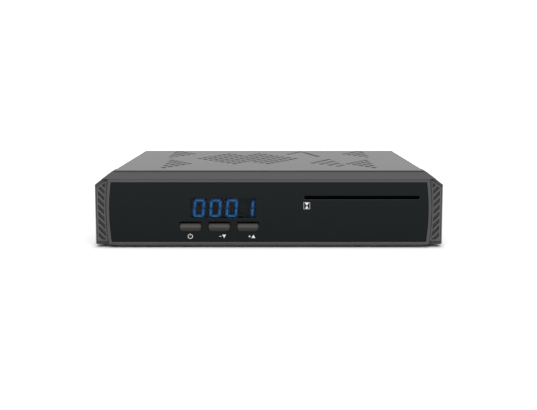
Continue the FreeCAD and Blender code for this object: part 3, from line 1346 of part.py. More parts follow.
def main():
    """Write one STEP file for each node."""
    os.makedirs("parts", exist_ok=True)
    for name, shape in build().items():
        shape.exportStep("parts/%s.step" % name)
        print(name, len(shape.Solids), "solids", round(shape.Volume, 1), "mm3", shape.isValid())


main()
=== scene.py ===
"""Satellite TV receiver: finishes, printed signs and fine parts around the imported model.

Lengths are metres in the model's own frame: +X is to the viewer's right, +Y goes from the front
to the back, +Z is up and the floor is at zero.
"""

import functools
import json
import logging
import math
from dataclasses import dataclass, field
from enum import Enum
from typing import Any, Callable, Iterable, Optional, Sequence, Union

import bmesh
import bpy
from mathutils import Matrix, Vector


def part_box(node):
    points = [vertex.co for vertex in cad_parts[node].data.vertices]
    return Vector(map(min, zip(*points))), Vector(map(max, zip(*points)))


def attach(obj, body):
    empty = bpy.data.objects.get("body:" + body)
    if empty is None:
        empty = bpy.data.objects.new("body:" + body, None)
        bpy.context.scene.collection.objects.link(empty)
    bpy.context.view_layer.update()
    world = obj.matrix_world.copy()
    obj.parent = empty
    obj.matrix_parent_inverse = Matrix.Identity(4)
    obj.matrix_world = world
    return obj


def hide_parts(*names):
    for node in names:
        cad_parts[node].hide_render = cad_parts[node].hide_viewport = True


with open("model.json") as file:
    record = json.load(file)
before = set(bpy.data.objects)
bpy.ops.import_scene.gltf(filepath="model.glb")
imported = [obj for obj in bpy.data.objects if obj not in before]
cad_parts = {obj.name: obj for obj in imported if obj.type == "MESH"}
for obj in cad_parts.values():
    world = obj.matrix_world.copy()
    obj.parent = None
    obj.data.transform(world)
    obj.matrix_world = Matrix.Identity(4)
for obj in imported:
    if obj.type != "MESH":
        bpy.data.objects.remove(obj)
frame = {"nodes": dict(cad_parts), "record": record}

LOG = logging.getLogger("receiver")
MM = 0.001
CASE_BODY = "case"
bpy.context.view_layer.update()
WELD = 0.0005 * MM
FLAT_ANGLE = math.radians(0.4)
ROUND_ANGLE = math.radians(30.0)
ROUND_SEGMENTS = 2
FLAT_FACE_WEIGHT = 90
ORDER_DIGITS = 5

Mesh = bpy.types.Mesh
Shell = bmesh.types.BMesh
Material = bpy.types.Material
Socket = bpy.types.NodeSocket
Inputs = dict[Union[int, str], Any]
Triple = tuple[float, float, float]
Colour = Triple
Point = tuple[float, float]
Outline = list[Point]
Box = tuple[Vector, Vector]  # the lowest and the highest corner
Seat = tuple[Vector, Vector]  # a place and a direction


# ---- Node trees ---------------------------------------------------------------------------------

class Value:
    """A number in a node tree, which Python's operators combine through Math nodes."""

    def __init__(self, builder: "Builder", socket: Socket) -> None:
        """Wrap an output socket of a tree's node."""
        self.builder = builder
        self.socket = socket

    def math(self, operation: str, *others: "Operand") -> "Value":
        """Return the result of a Math node whose first operand is this value."""
        return self.builder.math(operation, self, *others)

    def __add__(self, other: "Operand") -> "Value":
        """Return self + other."""
        return self.math("ADD", other)

    __radd__ = __add__

    def __mul__(self, other: "Operand") -> "Value":
        """Return self * other."""
        return self.math("MULTIPLY", other)

    def __sub__(self, other: "Operand") -> "Value":
        """Return self - other."""
        return self.math("SUBTRACT", other)

    def __rsub__(self, other: "Operand") -> "Value":
        """Return other - self."""
        return self.builder.math("SUBTRACT", other, self)

    def __truediv__(self, other: "Operand") -> "Value":
        """Return self / other."""
        return self.math("DIVIDE", other)

    def __abs__(self) -> "Value":
        """Return the size of the value without its sign."""
        return self.math("ABSOLUTE")

    def above(self, level: "Operand") -> "Value":
        """Return 1 where the value is greater than level, else 0."""
        return self.math("GREATER_THAN", level)

    def below(self, level: "Operand") -> "Value":
        """Return 1 where the value is less than level, else 0."""
        return self.math("LESS_THAN", level)

    def most(self, other: "Operand") -> "Value":
        """Return the greater of the two."""
        return self.math("MAXIMUM", other)

    def least(self, other: "Operand") -> "Value":
        """Return the lesser of the two."""
        return self.math("MINIMUM", other)

    def ramp(self, low: float, high: float) -> "Value":
        """Return 0 below low, 1 above high and a smooth step between them."""
        return self.builder.value("ShaderNodeMapRange", {0: self, 1: low, 2: high},
                                  interpolation_type="SMOOTHSTEP")


Operand = Union[Value, float]


class Builder:
    """A node tree under construction."""

    def __init__(self, tree: bpy.types.NodeTree) -> None:
        """Start from a tree."""
        self.tree = tree

    def node(self, kind: str, inputs: Optional[Inputs] = None, **settings: Any) -> bpy.types.Node:
        """Add any node.

        Args:
            kind: The node's type name.
            inputs: Values or links of its sockets, by name or number.
            settings: Its properties, set before its sockets.

        Returns:
            The new node.
        """
        node = self.tree.nodes.new(kind)
        for name, value in settings.items():
            setattr(node, name, value)
        for key, value in (inputs or {}).items():
            if isinstance(value, Value):
                value = value.socket
            if isinstance(value, Socket):
                self.tree.links.new(value, node.inputs[key])
            else:
                node.inputs[key].default_value = value
        return node

    def make(self, kind: str, inputs: Optional[Inputs] = None, **settings: Any) -> Socket:
        """Add any node and return its first output."""
        return self.node(kind, inputs, **settings).outputs[0]

    def value(self, kind: str, inputs: Optional[Inputs] = None, **settings: Any) -> Value:
        """Add any node and return its first output as a number."""
        return Value(self, self.make(kind, inputs, **settings))

    def math(self, operation: str, *operands: Operand) -> Value:
        """Return a Math node's result."""
        return self.value("ShaderNodeMath", dict(enumerate(operands)), operation=operation)

    def split(self, vector: Socket) -> tuple[Value, ...]:
        """Return the three numbers of a vector."""
        node = self.node("ShaderNodeSeparateXYZ", {0: vector})
        return tuple(Value(self, output) for output in node.outputs)


class Shader(Builder):
    """A material under construction."""

    def __init__(self, name: str) -> None:
        """Start an empty node tree for a new material.

        Args:
            name: The material's name.
        """
        self.material = bpy.data.materials.new(name)
        self.material.use_nodes = True
        super().__init__(self.material.node_tree)
        self.tree.nodes.clear()

    def place(self, scale: Triple = (1, 1, 1)) -> Socket:
        """Return the object coordinates, scaled."""
        coordinates = self.node("ShaderNodeTexCoord").outputs["Object"]
        return self.make("ShaderNodeMapping", {"Vector": coordinates, "Scale": scale})

    def axes(self) -> tuple[Value, ...]:
        """Return the three object coordinates as numbers."""
        return self.split(self.place())

    def normal(self) -> tuple[Value, ...]:
        """Return the three numbers of the surface's normal."""
        return self.split(self.node("ShaderNodeTexCoord").outputs["Normal"])

    def noise(self, size: float, detail: float = 2.0, rough: float = 0.5,
              stretch: Triple = (1, 1, 1)) -> Value:
        """Return a noise between 0 and 1 whose features are about size metres across."""
        return self.value("ShaderNodeTexNoise", {"Vector": self.place(stretch), "Scale": 1 / size,
                                                 "Detail": detail, "Roughness": rough})

    def cells(self, size: float, disorder: float, **settings: str) -> Value:
        """Return the distance to the points of a pattern of cells about size metres across."""
        return self.value("ShaderNodeTexVoronoi", {"Vector": self.place(), "Scale": 1 / size,
                                                   "Randomness": disorder}, **settings)

    @staticmethod
    def opaque(colour: Any) -> Any:
        """Return a colour of three numbers with a fourth, and anything else as it is."""
        return (*colour, 1.0) if isinstance(colour, tuple) and len(colour) == 3 else colour

    def mix(self, factor: Operand, first: Any, second: Any) -> Socket:
        """Return a colour between two colours, through the Mix node's numbered colour sockets."""
        colours = {6: self.opaque(first), 7: self.opaque(second)}
        return self.node("ShaderNodeMix", {0: factor, **colours}, data_type="RGBA").outputs[2]

    def shade(self, colour: Colour, factor: Operand, spread: float = 0.14) -> Socket:
        """Return a colour that runs from a little darker to a little lighter than colour."""
        return self.mix(factor, scaled(colour, 1 - spread), scaled(colour, 1 + spread))

    def bump(self, height: Value, depth: float, strength: float = 1.0) -> Socket:
        """Return the normal of a relief that is depth metres high where height is 1."""
        return self.make("ShaderNodeBump", {"Strength": strength, "Distance": depth,
                                            "Height": height})

    def finish(self, inputs: dict[str, Any]) -> Material:
        """Close the material with a Principled shader.

        Args:
            inputs: The shader's inputs by name.

        Returns:
            The material.
        """
        inputs = {name: self.opaque(value) for name, value in inputs.items()}
        surface = self.make("ShaderNodeBsdfPrincipled", inputs)
        self.node("ShaderNodeOutputMaterial", {"Surface": surface})
        return self.material


def scaled(colour: Colour, factor: float) -> Colour:
    """Return a colour made darker or lighter."""
    return tuple(part * factor for part in colour)


# ---- Finishes -----------------------------------------------------------------------------------

@dataclass(frozen=True)
class Finish:
    """What a surface is made of."""

    colour: Colour

    def inputs(self, shader: Shader) -> dict[str, Any]:
        """Return the inputs of the finish's shader, made in a material under construction."""
        raise NotImplementedError

    def build(self, name: str) -> Material:
        """Return the finish as a new material."""
        shader = Shader(name)
        return shader.finish(self.inputs(shader))


@dataclass(frozen=True)
class Plastic(Finish):
    """Moulded plastic with a fine spark-eroded grain."""

    roughness: float = 0.5
    grain: float = 0.35 * MM
    relief: float = 0.02 * MM
    specular: float = 0.5
    # deep: the share of the colour that is left under full painted shade
    deep: float = 0.4
    flow: float = 22 * MM

    def hollow(self, shader: Shader) -> Optional[Value]:
        """Return how far painted shade darkens the colour, or nothing where none is painted."""
        return None

    def inputs(self, shader: Shader) -> dict[str, Any]:
        """Grain the surface, let its colour drift along the mould and mix in any painted shade.

        Args:
            shader: The material under construction.

        Returns:
            The shader's inputs.
        """
        grain = shader.noise(self.grain, detail=3.0, rough=0.6)
        flow = shader.noise(self.flow, stretch=(1.0, 1.0, 2.5))
        colour = shader.shade(self.colour, 0.35 + grain * 0.2 + flow * 0.15)
        # Painted shade, where a subclass gives one.
        hollow = self.hollow(shader)
        if hollow is not None:
            colour = shader.mix(hollow, colour, scaled(self.colour, self.deep))
        return {
            "Base Color": colour,
            "Roughness": self.roughness - 0.04 + grain * 0.08,
            "Specular IOR Level": self.specular,
            "Normal": shader.bump(grain, self.relief),
        }


@dataclass(frozen=True)
class FasciaPlastic(Plastic):
    """Fascia plastic: painted shade on sunk cheeks and bevels, painted light on bezel and lip."""

    reach: float = 77.4 * MM
    plane: float = -59.8 * MM
    end: float = -57.9 * MM
    bezel: float = -61.7 * MM
    foot: float = 3.1 * MM
    bevel_across: float = 0.25
    bevel_along: float = -0.3
    floor_along: float = -0.9
    plain_share: float = 0.41
    bezel_share: float = 0.17

    def hollow(self, shader: Shader) -> Value:
        """Paint shade most on the cheeks' floor and bevels, and light on the bezel and lower lip.

        Args:
            shader: The material under construction.

        Returns:
            1 on the cheeks' floor and bevels, 0 on the lower lip and less than half elsewhere.
        """
        x, y, z = shader.axes()
        across, along, _ = shader.normal()
        bevel = abs(across).above(self.bevel_across) * along.below(self.bevel_along)
        floor = y.above(self.plane) * along.below(self.floor_along)
        side = abs(x).above(self.reach)
        # Painted light: a little on the bezel, most on the lower lip.
        painted_light = y.below(self.bezel) * self.bezel_share + z.below(self.foot) * (1 - side)
        return (side * y.below(self.end) * bevel.most(floor)).most(self.plain_share - painted_light)


@dataclass(frozen=True)
class TrimPlastic(Plastic):
    """The cheek trims' plastic, with painted shade down in the grooves between the ribs."""

    groove: Point = (-59.45 * MM, -59.15 * MM)

    def hollow(self, shader: Shader) -> Value:
        """Return 1 on the grooves' floor, where shade is painted, and 0 on the ribs."""
        # Painted shade in the grooves.
        return shader.axes()[1].ramp(*self.groove)


@dataclass(frozen=True)
class KeyPlastic(Plastic):
    """Satin key plastic: painted highlight on each key's ridge, painted shade above and below it.
    """

    ridge: Point = (10.35 * MM, 11.25 * MM)
    low: float = 9.3 * MM
    soft: float = 0.14 * MM
    foot_share: float = 0.25
    above_share: float = 0.2

    def hollow(self, shader: Shader) -> Value:
        """Keep the painted highlight on the ridge and paint shade above and below it.

        Args:
            shader: The material under construction.

        Returns:
            0 on the ridge, more beside it and 1 at the foot of the key.
        """
        z = shader.axes()[2]
        # Painted highlight on the ridge, painted shade above and below it.
        foot, ridge, above = (z.ramp(level - self.soft, level + self.soft)
                              for level in (self.low, *self.ridge))
        beside = foot * (1 - ridge) * self.foot_share + above * self.above_share
        return 1 - ridge * (1 - above) - beside


@dataclass(frozen=True)
class PaintedSheet(Finish):
    """Sheet metal under a fine textured paint."""

    roughness: float = 0.45
    grain: float = 0.45 * MM
    relief: float = 0.018 * MM
    specular: float = 0.5
    speck: float = 0.9 * MM
    cloud: float = 38 * MM

    def inputs(self, shader: Shader) -> dict[str, Any]:
        """Grain the paint, with a few darker specks and faint clouds.

        Args:
            shader: The material under construction.

        Returns:
            The shader's inputs.
        """
        grain = shader.noise(self.grain, detail=4.0, rough=0.65)
        speck = shader.noise(self.speck, detail=1.0).ramp(0.66, 0.72)
        cloud = shader.noise(self.cloud)
        drift = 0.3 + grain * 0.25 + cloud * 0.15 - speck * 0.2
        return {
            "Base Color": shader.shade(self.colour, drift),
            "Roughness": self.roughness - 0.03 + grain * 0.06 + speck * 0.08,
            "Specular IOR Level": self.specular,
            "Normal": shader.bump(grain + speck * 0.4, self.relief),
        }


@dataclass(frozen=True)
class SmoothPanel(Finish):
    """Smooth black plastic, or the smoked window in it where opacity is under one."""

    roughness: float = 0.22
    specular: float = 0.13
    opacity: float = 1.0
    skin: float = -61.3 * MM
    keys_top: float = 13 * MM
    step: float = -61.5 * MM
    lip_start: float = 15 * MM
    lip_heights: Point = (23.3 * MM, 25.2 * MM)
    clear: Point = (14.5 * MM, 15.3 * MM)
    wave: float = 7 * MM
    ripple: float = 0.01 * MM
    dust: float = 0.22 * MM
    dust_colour: Colour = (0.05, 0.05, 0.05)
    lip_colour: Colour = (0.030, 0.031, 0.032)
    hole_colour: Colour = (0.0004, 0.0004, 0.0004)

    def inputs(self, shader: Shader) -> dict[str, Any]:
        """Paint light on the slot's lip and shade into the holes; keep the window's foot opaque.

        Args:
            shader: The material under construction.

        Returns:
            The shader's inputs.
        """
        wave = shader.noise(self.wave, detail=1.0)
        dust = shader.noise(self.dust, rough=0.7).ramp(0.68, 0.8)
        face = shader.mix(dust * 0.25, shader.shade(self.colour, wave), self.dust_colour)
        x, y, z = shader.axes()
        right = x.above(self.lip_start)
        lip = right * y.above(self.step) * z.above(self.lip_heights[0])
        # Painted highlight along the card slot's lower lip.
        highlighted = shader.mix(lip * z.below(self.lip_heights[1]), face, self.lip_colour)
        # Painted shade: sunk surfaces round the keys and the card slot, and the slot's upper step.
        holes = z.below(self.keys_top).most(right) * y.above(self.skin)
        hollow = holes.most(lip * z.above(self.lip_heights[1]))
        return {
            "Base Color": shader.mix(hollow, highlighted, self.hole_colour),
            "Roughness": self.roughness + wave * 0.03 + dust * 0.15,
            "Specular IOR Level": self.specular,
            "Alpha": 1 - z.ramp(*self.clear) * (1 - self.opacity) if self.opacity < 1 else 1.0,
            "Normal": shader.bump(wave, self.ripple, strength=0.4),
        }


@dataclass(frozen=True)
class Glow(Finish):
    """A lit bar of the display, or its halo."""

    strength: float
    mottle: float = 0.25
    cloud: float = 1.3 * MM
    unlit: Colour = (0.01, 0.02, 0.04)

    def inputs(self, shader: Shader) -> dict[str, Any]:
        """Mottle the light a little.

        Args:
            shader: The material under construction.

        Returns:
            The shader's inputs.
        """
        cloud = shader.noise(self.cloud, detail=1.0).ramp(0.3, 0.7)
        bright = tuple(min(1.0, part) for part in scaled(self.colour, 1 + self.mottle))
        return {
            "Base Color": self.unlit,
            "Roughness": 0.6,
            "Emission Color": shader.mix(cloud, scaled(self.colour, 1 - self.mottle), bright),
            "Emission Strength": self.strength,
        }


@dataclass(frozen=True)
class Metal(Finish):
    """Bare or plated metal, drawn along X by streak."""

    roughness: float = 0.3
    streak: float = 6.0
    relief: float = 0.006 * MM
    scratch: float = 0.3 * MM
    stain: float = 4 * MM

    def inputs(self, shader: Shader) -> dict[str, Any]:
        """Streak the metal and stain it a little.

        Args:
            shader: The material under construction.

        Returns:
            The shader's inputs.
        """
        drawn = shader.noise(self.scratch, rough=0.6, stretch=(1 / self.streak, 1.0, 1.0))
        stain = shader.noise(self.stain, detail=3.0, rough=0.6).ramp(0.35, 0.75)
        return {
            "Base Color": shader.shade(self.colour, 0.25 + drawn * 0.3 + stain * 0.2),
            "Metallic": 1.0,
            "Roughness": self.roughness + stain * 0.1 + drawn * 0.05,
            "Normal": shader.bump(drawn, self.relief),
        }


@dataclass(frozen=True)
class Board(Finish):
    """Glass-fibre board under green resist, with tracks and tinned pads."""

    colour: Colour = (0.012, 0.10, 0.045)
    tin: Colour = (0.62, 0.60, 0.55)
    track_cell: float = 3.2 * MM
    track_width: float = 0.12
    pad_cell: float = 2.1 * MM
    pad_reach: float = 0.17
    grain: float = 0.5 * MM
    relief: float = 0.035 * MM

    def inputs(self, shader: Shader) -> dict[str, Any]:
        """Raise lighter tracks under the resist and strew pads between them.

        Args:
            shader: The material under construction.

        Returns:
            The shader's inputs.
        """
        first, second = (shader.cells(self.track_cell, disorder=0.55, feature=feature,
                                      distance="MANHATTAN") for feature in ("F1", "F2"))
        track = (second - first).below(self.track_width)
        pad = shader.cells(self.pad_cell, disorder=0.35, feature="F1").below(self.pad_reach)
        grain = shader.noise(self.grain)
        resist = shader.mix(track, shader.shade(self.colour, grain), scaled(self.colour, 1.7))
        return {
            "Base Color": shader.mix(pad, resist, self.tin),
            "Metallic": pad * 0.9,
            "Roughness": 0.42 - pad * 0.12 + grain * 0.08,
            "Normal": shader.bump(track + pad * 1.5, self.relief),
        }


@dataclass(frozen=True)
class RibbonSkin(Finish):
    """Flat cable: round conductors side by side under thin plastic, the first one marked."""

    colour: Colour = (0.62, 0.62, 0.60)
    mark: Colour = (0.45, 0.03, 0.03)
    pitch: float = 1.27 * MM
    left: float = -53 * MM
    grain: float = 0.8 * MM
    relief: float = 0.12 * MM

    def inputs(self, shader: Shader) -> dict[str, Any]:
        """Sink a groove between each two conductors and paint shade into it.

        Args:
            shader: The material under construction.

        Returns:
            The shader's inputs.
        """
        across = (shader.axes()[0] - self.left) / self.pitch
        groove = abs(across.math("FRACT") - 0.5).ramp(0.36, 0.5)
        grain = shader.noise(self.grain)
        # Painted shade in the grooves.
        skin = shader.mix(groove, shader.shade(self.colour, grain), scaled(self.colour, 0.6))
        return {
            "Base Color": shader.mix(across.below(1.0), skin, self.mark),
            "Roughness": 0.45 + grain * 0.1,
            "Normal": shader.bump(1 - groove, self.relief),
        }


@dataclass(frozen=True)
class Rubber(Finish):
    """Dull moulded rubber with a pale bloom."""

    colour: Colour = (0.018, 0.018, 0.019)
    bloom_colour: Colour = (0.06, 0.06, 0.058)
    grain: float = 0.25 * MM
    bloom: float = 3 * MM
    relief: float = 0.03 * MM

    def inputs(self, shader: Shader) -> dict[str, Any]:
        """Grain the rubber and let the bloom show in patches.

        Args:
            shader: The material under construction.

        Returns:
            The shader's inputs.
        """
        grain = shader.noise(self.grain, detail=3.0, rough=0.6)
        bloom = shader.noise(self.bloom, detail=3.0, rough=0.6).ramp(0.5, 0.8)
        bare = shader.shade(self.colour, grain)
        return {
            "Base Color": shader.mix(bloom * 0.4, bare, self.bloom_colour),
            "Roughness": 0.78 + grain * 0.12,
            "Specular IOR Level": 0.3,
            "Normal": shader.bump(grain, self.relief),
        }


class Slot(Enum):
    """The record's material slots, each with its finish."""

    lid_paint = PaintedSheet((0.056, 0.057, 0.060), 0.36, specular=0.36)
    chassis_steel = PaintedSheet((0.095, 0.096, 0.098), 0.45)
    # The fascia's colour is its lower lip's, with painted light; painted shade darkens the rest.
    fascia_plastic = FasciaPlastic((0.092, 0.092, 0.093), 0.5, specular=0.35, deep=0.37)
    trim_plastic = TrimPlastic((0.094, 0.094, 0.095), 0.5, deep=0.27)
    panel_black = SmoothPanel((0.0030, 0.0062, 0.0070))
    window_smoke = SmoothPanel((0.0030, 0.0062, 0.0070), opacity=0.4)
    button_plastic = KeyPlastic((0.085, 0.081, 0.075), 0.4, relief=0.008 * MM, specular=0.25,
                                deep=0.25)
    display_black = SmoothPanel((0.0125, 0.0245, 0.0270), specular=0.4, skin=0.0)
    segment_glow = Glow((0.05, 0.33, 1.0), 0.92)
    segment_dark = SmoothPanel((0.0125, 0.0245, 0.0280), specular=0.4, skin=0.0)
    board_green = Board()
    black_plastic = Plastic((0.004, 0.004, 0.0042), 0.6, specular=0.12)
    white_plastic = Plastic((0.62, 0.61, 0.57), 0.45)
    orange_plastic = Plastic((0.68, 0.19, 0.03), 0.45)
    chip_epoxy = Plastic((0.016, 0.016, 0.017), 0.62, 0.25 * MM, 0.03 * MM)
    heatsink_black = Metal((0.045, 0.045, 0.047), 0.42)
    tin_steel = Metal((0.60, 0.60, 0.58), 0.34)
    nickel = Metal((0.66, 0.64, 0.60), 0.24)
    gold_contact = Metal((0.80, 0.58, 0.22), 0.26)
    screw_steel = Metal((0.11, 0.11, 0.115), 0.38, 1.0)
    capacitor_sleeve = Plastic((0.010, 0.016, 0.045), 0.3, relief=0.006 * MM)
    ribbon_white = RibbonSkin()
    foot_rubber = Rubber()


class Extra(Enum):
    """Finishes of fine parts that have no slot of their own."""

    ink = Plastic((0.90, 0.91, 0.90), 0.55, 0.2 * MM, 0.004 * MM)
    halo = Glow((0.0, 0.10, 0.40), 0.42, 0.1)
    # Painted shade in the lid's punched holes.
    hole_edge = Plastic((0.008, 0.008, 0.008), 0.8, specular=0.04)
    # Painted shadow in the gap between lid and fascia.
    seam = Plastic((0.036, 0.036, 0.036), 0.7, specular=0.3)
    aluminium = Metal((0.72, 0.72, 0.72), 0.3)


@functools.cache
def material(finish: Enum) -> Material:
    """Return a finish's material, built on first use."""
    return finish.value.build(finish.name)


def dress(mesh: Mesh, finish: Enum) -> None:
    """Give a whole mesh one finish."""
    mesh.materials.clear()
    mesh.materials.append(material(finish))


# ---- Meshes -------------------------------------------------------------------------------------

def along(axis: int, side: int = 1) -> Vector:
    """Return a vector of length 1 along an axis, or against it where side is -1."""
    return Vector([side if i == axis else 0 for i in range(3)])


def corners(points: Iterable[Vector]) -> Box:
    """Return the lowest and highest corner of the box round some points."""
    points = list(points)
    return Vector(map(min, *points)), Vector(map(max, *points))


def new_object(name: str, data: Any) -> bpy.types.Object:
    """Put a new object into the scene.

    Args:
        name: The object's name.
        data: Its mesh, camera or light.

    Returns:
        The object.
    """
    thing = bpy.data.objects.new(name, data)
    bpy.context.scene.collection.objects.link(thing)
    return thing


def applied(carrier: bpy.types.Object) -> Mesh:
    """Apply the modifiers of an object that was made only to carry them.

    Args:
        carrier: The object, which is removed.

    Returns:
        The result as a plain mesh.
    """
    graph = bpy.context.evaluated_depsgraph_get()
    graph.update()
    mesh = bpy.data.meshes.new_from_object(carrier.evaluated_get(graph), depsgraph=graph)
    bpy.data.objects.remove(carrier)
    return mesh


def shade(mesh: Mesh, angle: float = 35.0) -> Mesh:
    """Shade a mesh smoothly but for its sharp edges.

    Args:
        mesh: The mesh.
        angle: The bend of an edge, in degrees, from which it stays sharp.

    Returns:
        The same mesh.
    """
    mesh.shade_smooth()
    mesh.set_sharp_from_angle(angle=math.radians(angle))
    return mesh


def settled(work: Shell, name: str) -> Mesh:
    """Turn a mesh under construction into a finished one.

    Args:
        work: The mesh under construction, which is freed.
        name: The finished mesh's name.

    Returns:
        The finished mesh.
    """
    mesh = bpy.data.meshes.new(name)
    work.to_mesh(mesh)
    work.free()
    return mesh


def joined(meshes: Iterable[Mesh], name: str) -> Mesh:
    """Put several meshes together.

    Args:
        meshes: The meshes.
        name: The new mesh's name.

    Returns:
        The new mesh.
    """
    work = bmesh.new()
    for mesh in meshes:
        work.from_mesh(mesh)
    return settled(work, name)


def welded(node: str) -> Shell:
    """Copy a CAD node's mesh with its loose triangles welded.

    Args:
        node: The CAD node.

    Returns:
        The mesh under construction.
    """
    work = bmesh.new()
    work.from_mesh(frame["nodes"][node].data)
    bmesh.ops.remove_doubles(work, verts=work.verts, dist=WELD)
    return work


def flattened(node: str, pierced: bool = False) -> Shell:
    """Return a CAD node's mesh with the triangles of each flat face joined.

    Args:
        node: The CAD node.
        pierced: Whether flat faces with many holes keep to quads, or each flat face is one.

    Returns:
        The joined mesh.
    """
    work = welded(node)
    if pierced:
        bmesh.ops.join_triangles(work, faces=work.faces, angle_face_threshold=FLAT_ANGLE,
                                 angle_shape_threshold=math.pi)
    else:
        bmesh.ops.dissolve_limit(work, angle_limit=FLAT_ANGLE, verts=work.verts,
                                 edges=work.edges)
    return work


def groups(items: Iterable[Any], beside: Callable[[Any], Iterable[Any]]) -> list[list[Any]]:
    """Sort vertices or faces into groups that hang together.

    Args:
        items: The vertices or faces.
        beside: Gives the neighbours of one of them.

    Returns:
        The groups.
    """
    waiting = set(items)
    found = []
    while waiting:
        front = [waiting.pop()]
        reached = []
        while front:
            item = front.pop()
            reached.append(item)
            for other in beside(item):
                if other in waiting:
                    waiting.remove(other)
                    front.append(other)
        found.append(reached)
    return found


def islands(node: str) -> list[Box]:
    """Find the separate solids of a CAD node.

    Args:
        node: The CAD node.

    Returns:
        The lowest and highest corner of each, in the order of their lowest corners.
    """
    work = welded(node)
    solids = groups(work.verts, lambda vertex: (edge.other_vert(vertex)
                                                for edge in vertex.link_edges))
    boxes = [corners(vertex.co for vertex in solid) for solid in solids]
    work.free()
    return sorted(boxes, key=lambda box: tuple(round(part, ORDER_DIGITS) for part in box[0]))


def rounded_copy(node: str, width: float, pierced: bool = False) -> Mesh:
    """Copy a CAD node's mesh with its sharp edges rounded.

    Args:
        node: The CAD node.
        width: How far the rounding reaches from each edge.
        pierced: Whether the node has flat faces with many holes.

    Returns:
        The new mesh.
    """
    carrier = new_object("carrier", settled(flattened(node, pierced), node))
    carrier.data.shade_smooth()
    bevel = carrier.modifiers.new("bevel", "BEVEL")
    bevel.limit_method = "ANGLE"
    bevel.angle_limit = ROUND_ANGLE
    bevel.width = width
    bevel.segments = ROUND_SEGMENTS
    bevel.use_clamp_overlap = True
    bevel.miter_outer = "MITER_ARC"
    normals = carrier.modifiers.new("normals", "WEIGHTED_NORMAL")
    normals.weight = FLAT_FACE_WEIGHT
    return applied(carrier)


def bridge(work: Shell, first: Sequence[Any], second: Sequence[Any]) -> None:
    """Add the band of faces between two rings of as many vertices.

    Args:
        work: The mesh under construction.
        first: The first ring.
        second: The second ring.
    """
    for i in range(len(first)):
        j = (i + 1) % len(first)
        work.faces.new((first[i], first[j], second[j], second[i]))


def revolved(profile: Sequence[Point], sides: int) -> Shell:
    """Sweep a closed profile round the Z axis.

    Args:
        profile: Its (radius, height) points, anticlockwise, which close on the first.
        sides: The faces round the axis.

    Returns:
        The closed surface, its faces outwards.
    """
    work = bmesh.new()
    turns = [math.tau * i / sides for i in range(sides)]
    rings = [[work.verts.new((radius * math.cos(turn), radius * math.sin(turn), height))
              for turn in turns] for radius, height in profile]
    for low, high in zip(rings, rings[1:] + rings[:1]):
        bridge(work, low, high)
    return work


def prism(outlines: Iterable[Outline], front: float, back: float) -> Shell:
    """Make flat plates that face the viewer, one over each (x, z) outline.

    Args:
        outlines: Outlines that run anticlockwise as the viewer sees them.
        front: The y of the face that the viewer sees.
        back: The y of the face behind it.

    Returns:
        The closed plates.
    """
    work = bmesh.new()
    for outline in outlines:
        near = [work.verts.new((x, front, z)) for x, z in outline]
        far = [work.verts.new((x, back, z)) for x, z in outline]
        work.faces.new(near)
        work.faces.new(far[::-1])
        bridge(work, far, near)
    return work


def present(name: str, mesh: Mesh, finish: Enum, slot: Optional[Slot] = None,
            body: str = CASE_BODY, replaces: Sequence[str] = ()) -> None:
    """Show a finished mesh as a piece of the object.

    Args:
        name: The piece's name.
        mesh: Its mesh, in place.
        finish: What it is made of.
        slot: The record's slot, where the finish isn't one itself. Not used.
        body: The body that it rides on.
        replaces: The CAD nodes that it stands for.
    """
    piece = new_object(name, mesh)
    dress(mesh, finish)
    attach(piece, body)
    if replaces:
        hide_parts(*replaces)
    LOG.info("%s: %d faces in %s", name, len(mesh.polygons), finish.name)


# ---- Geometry trees -----------------------------------------------------------------------------

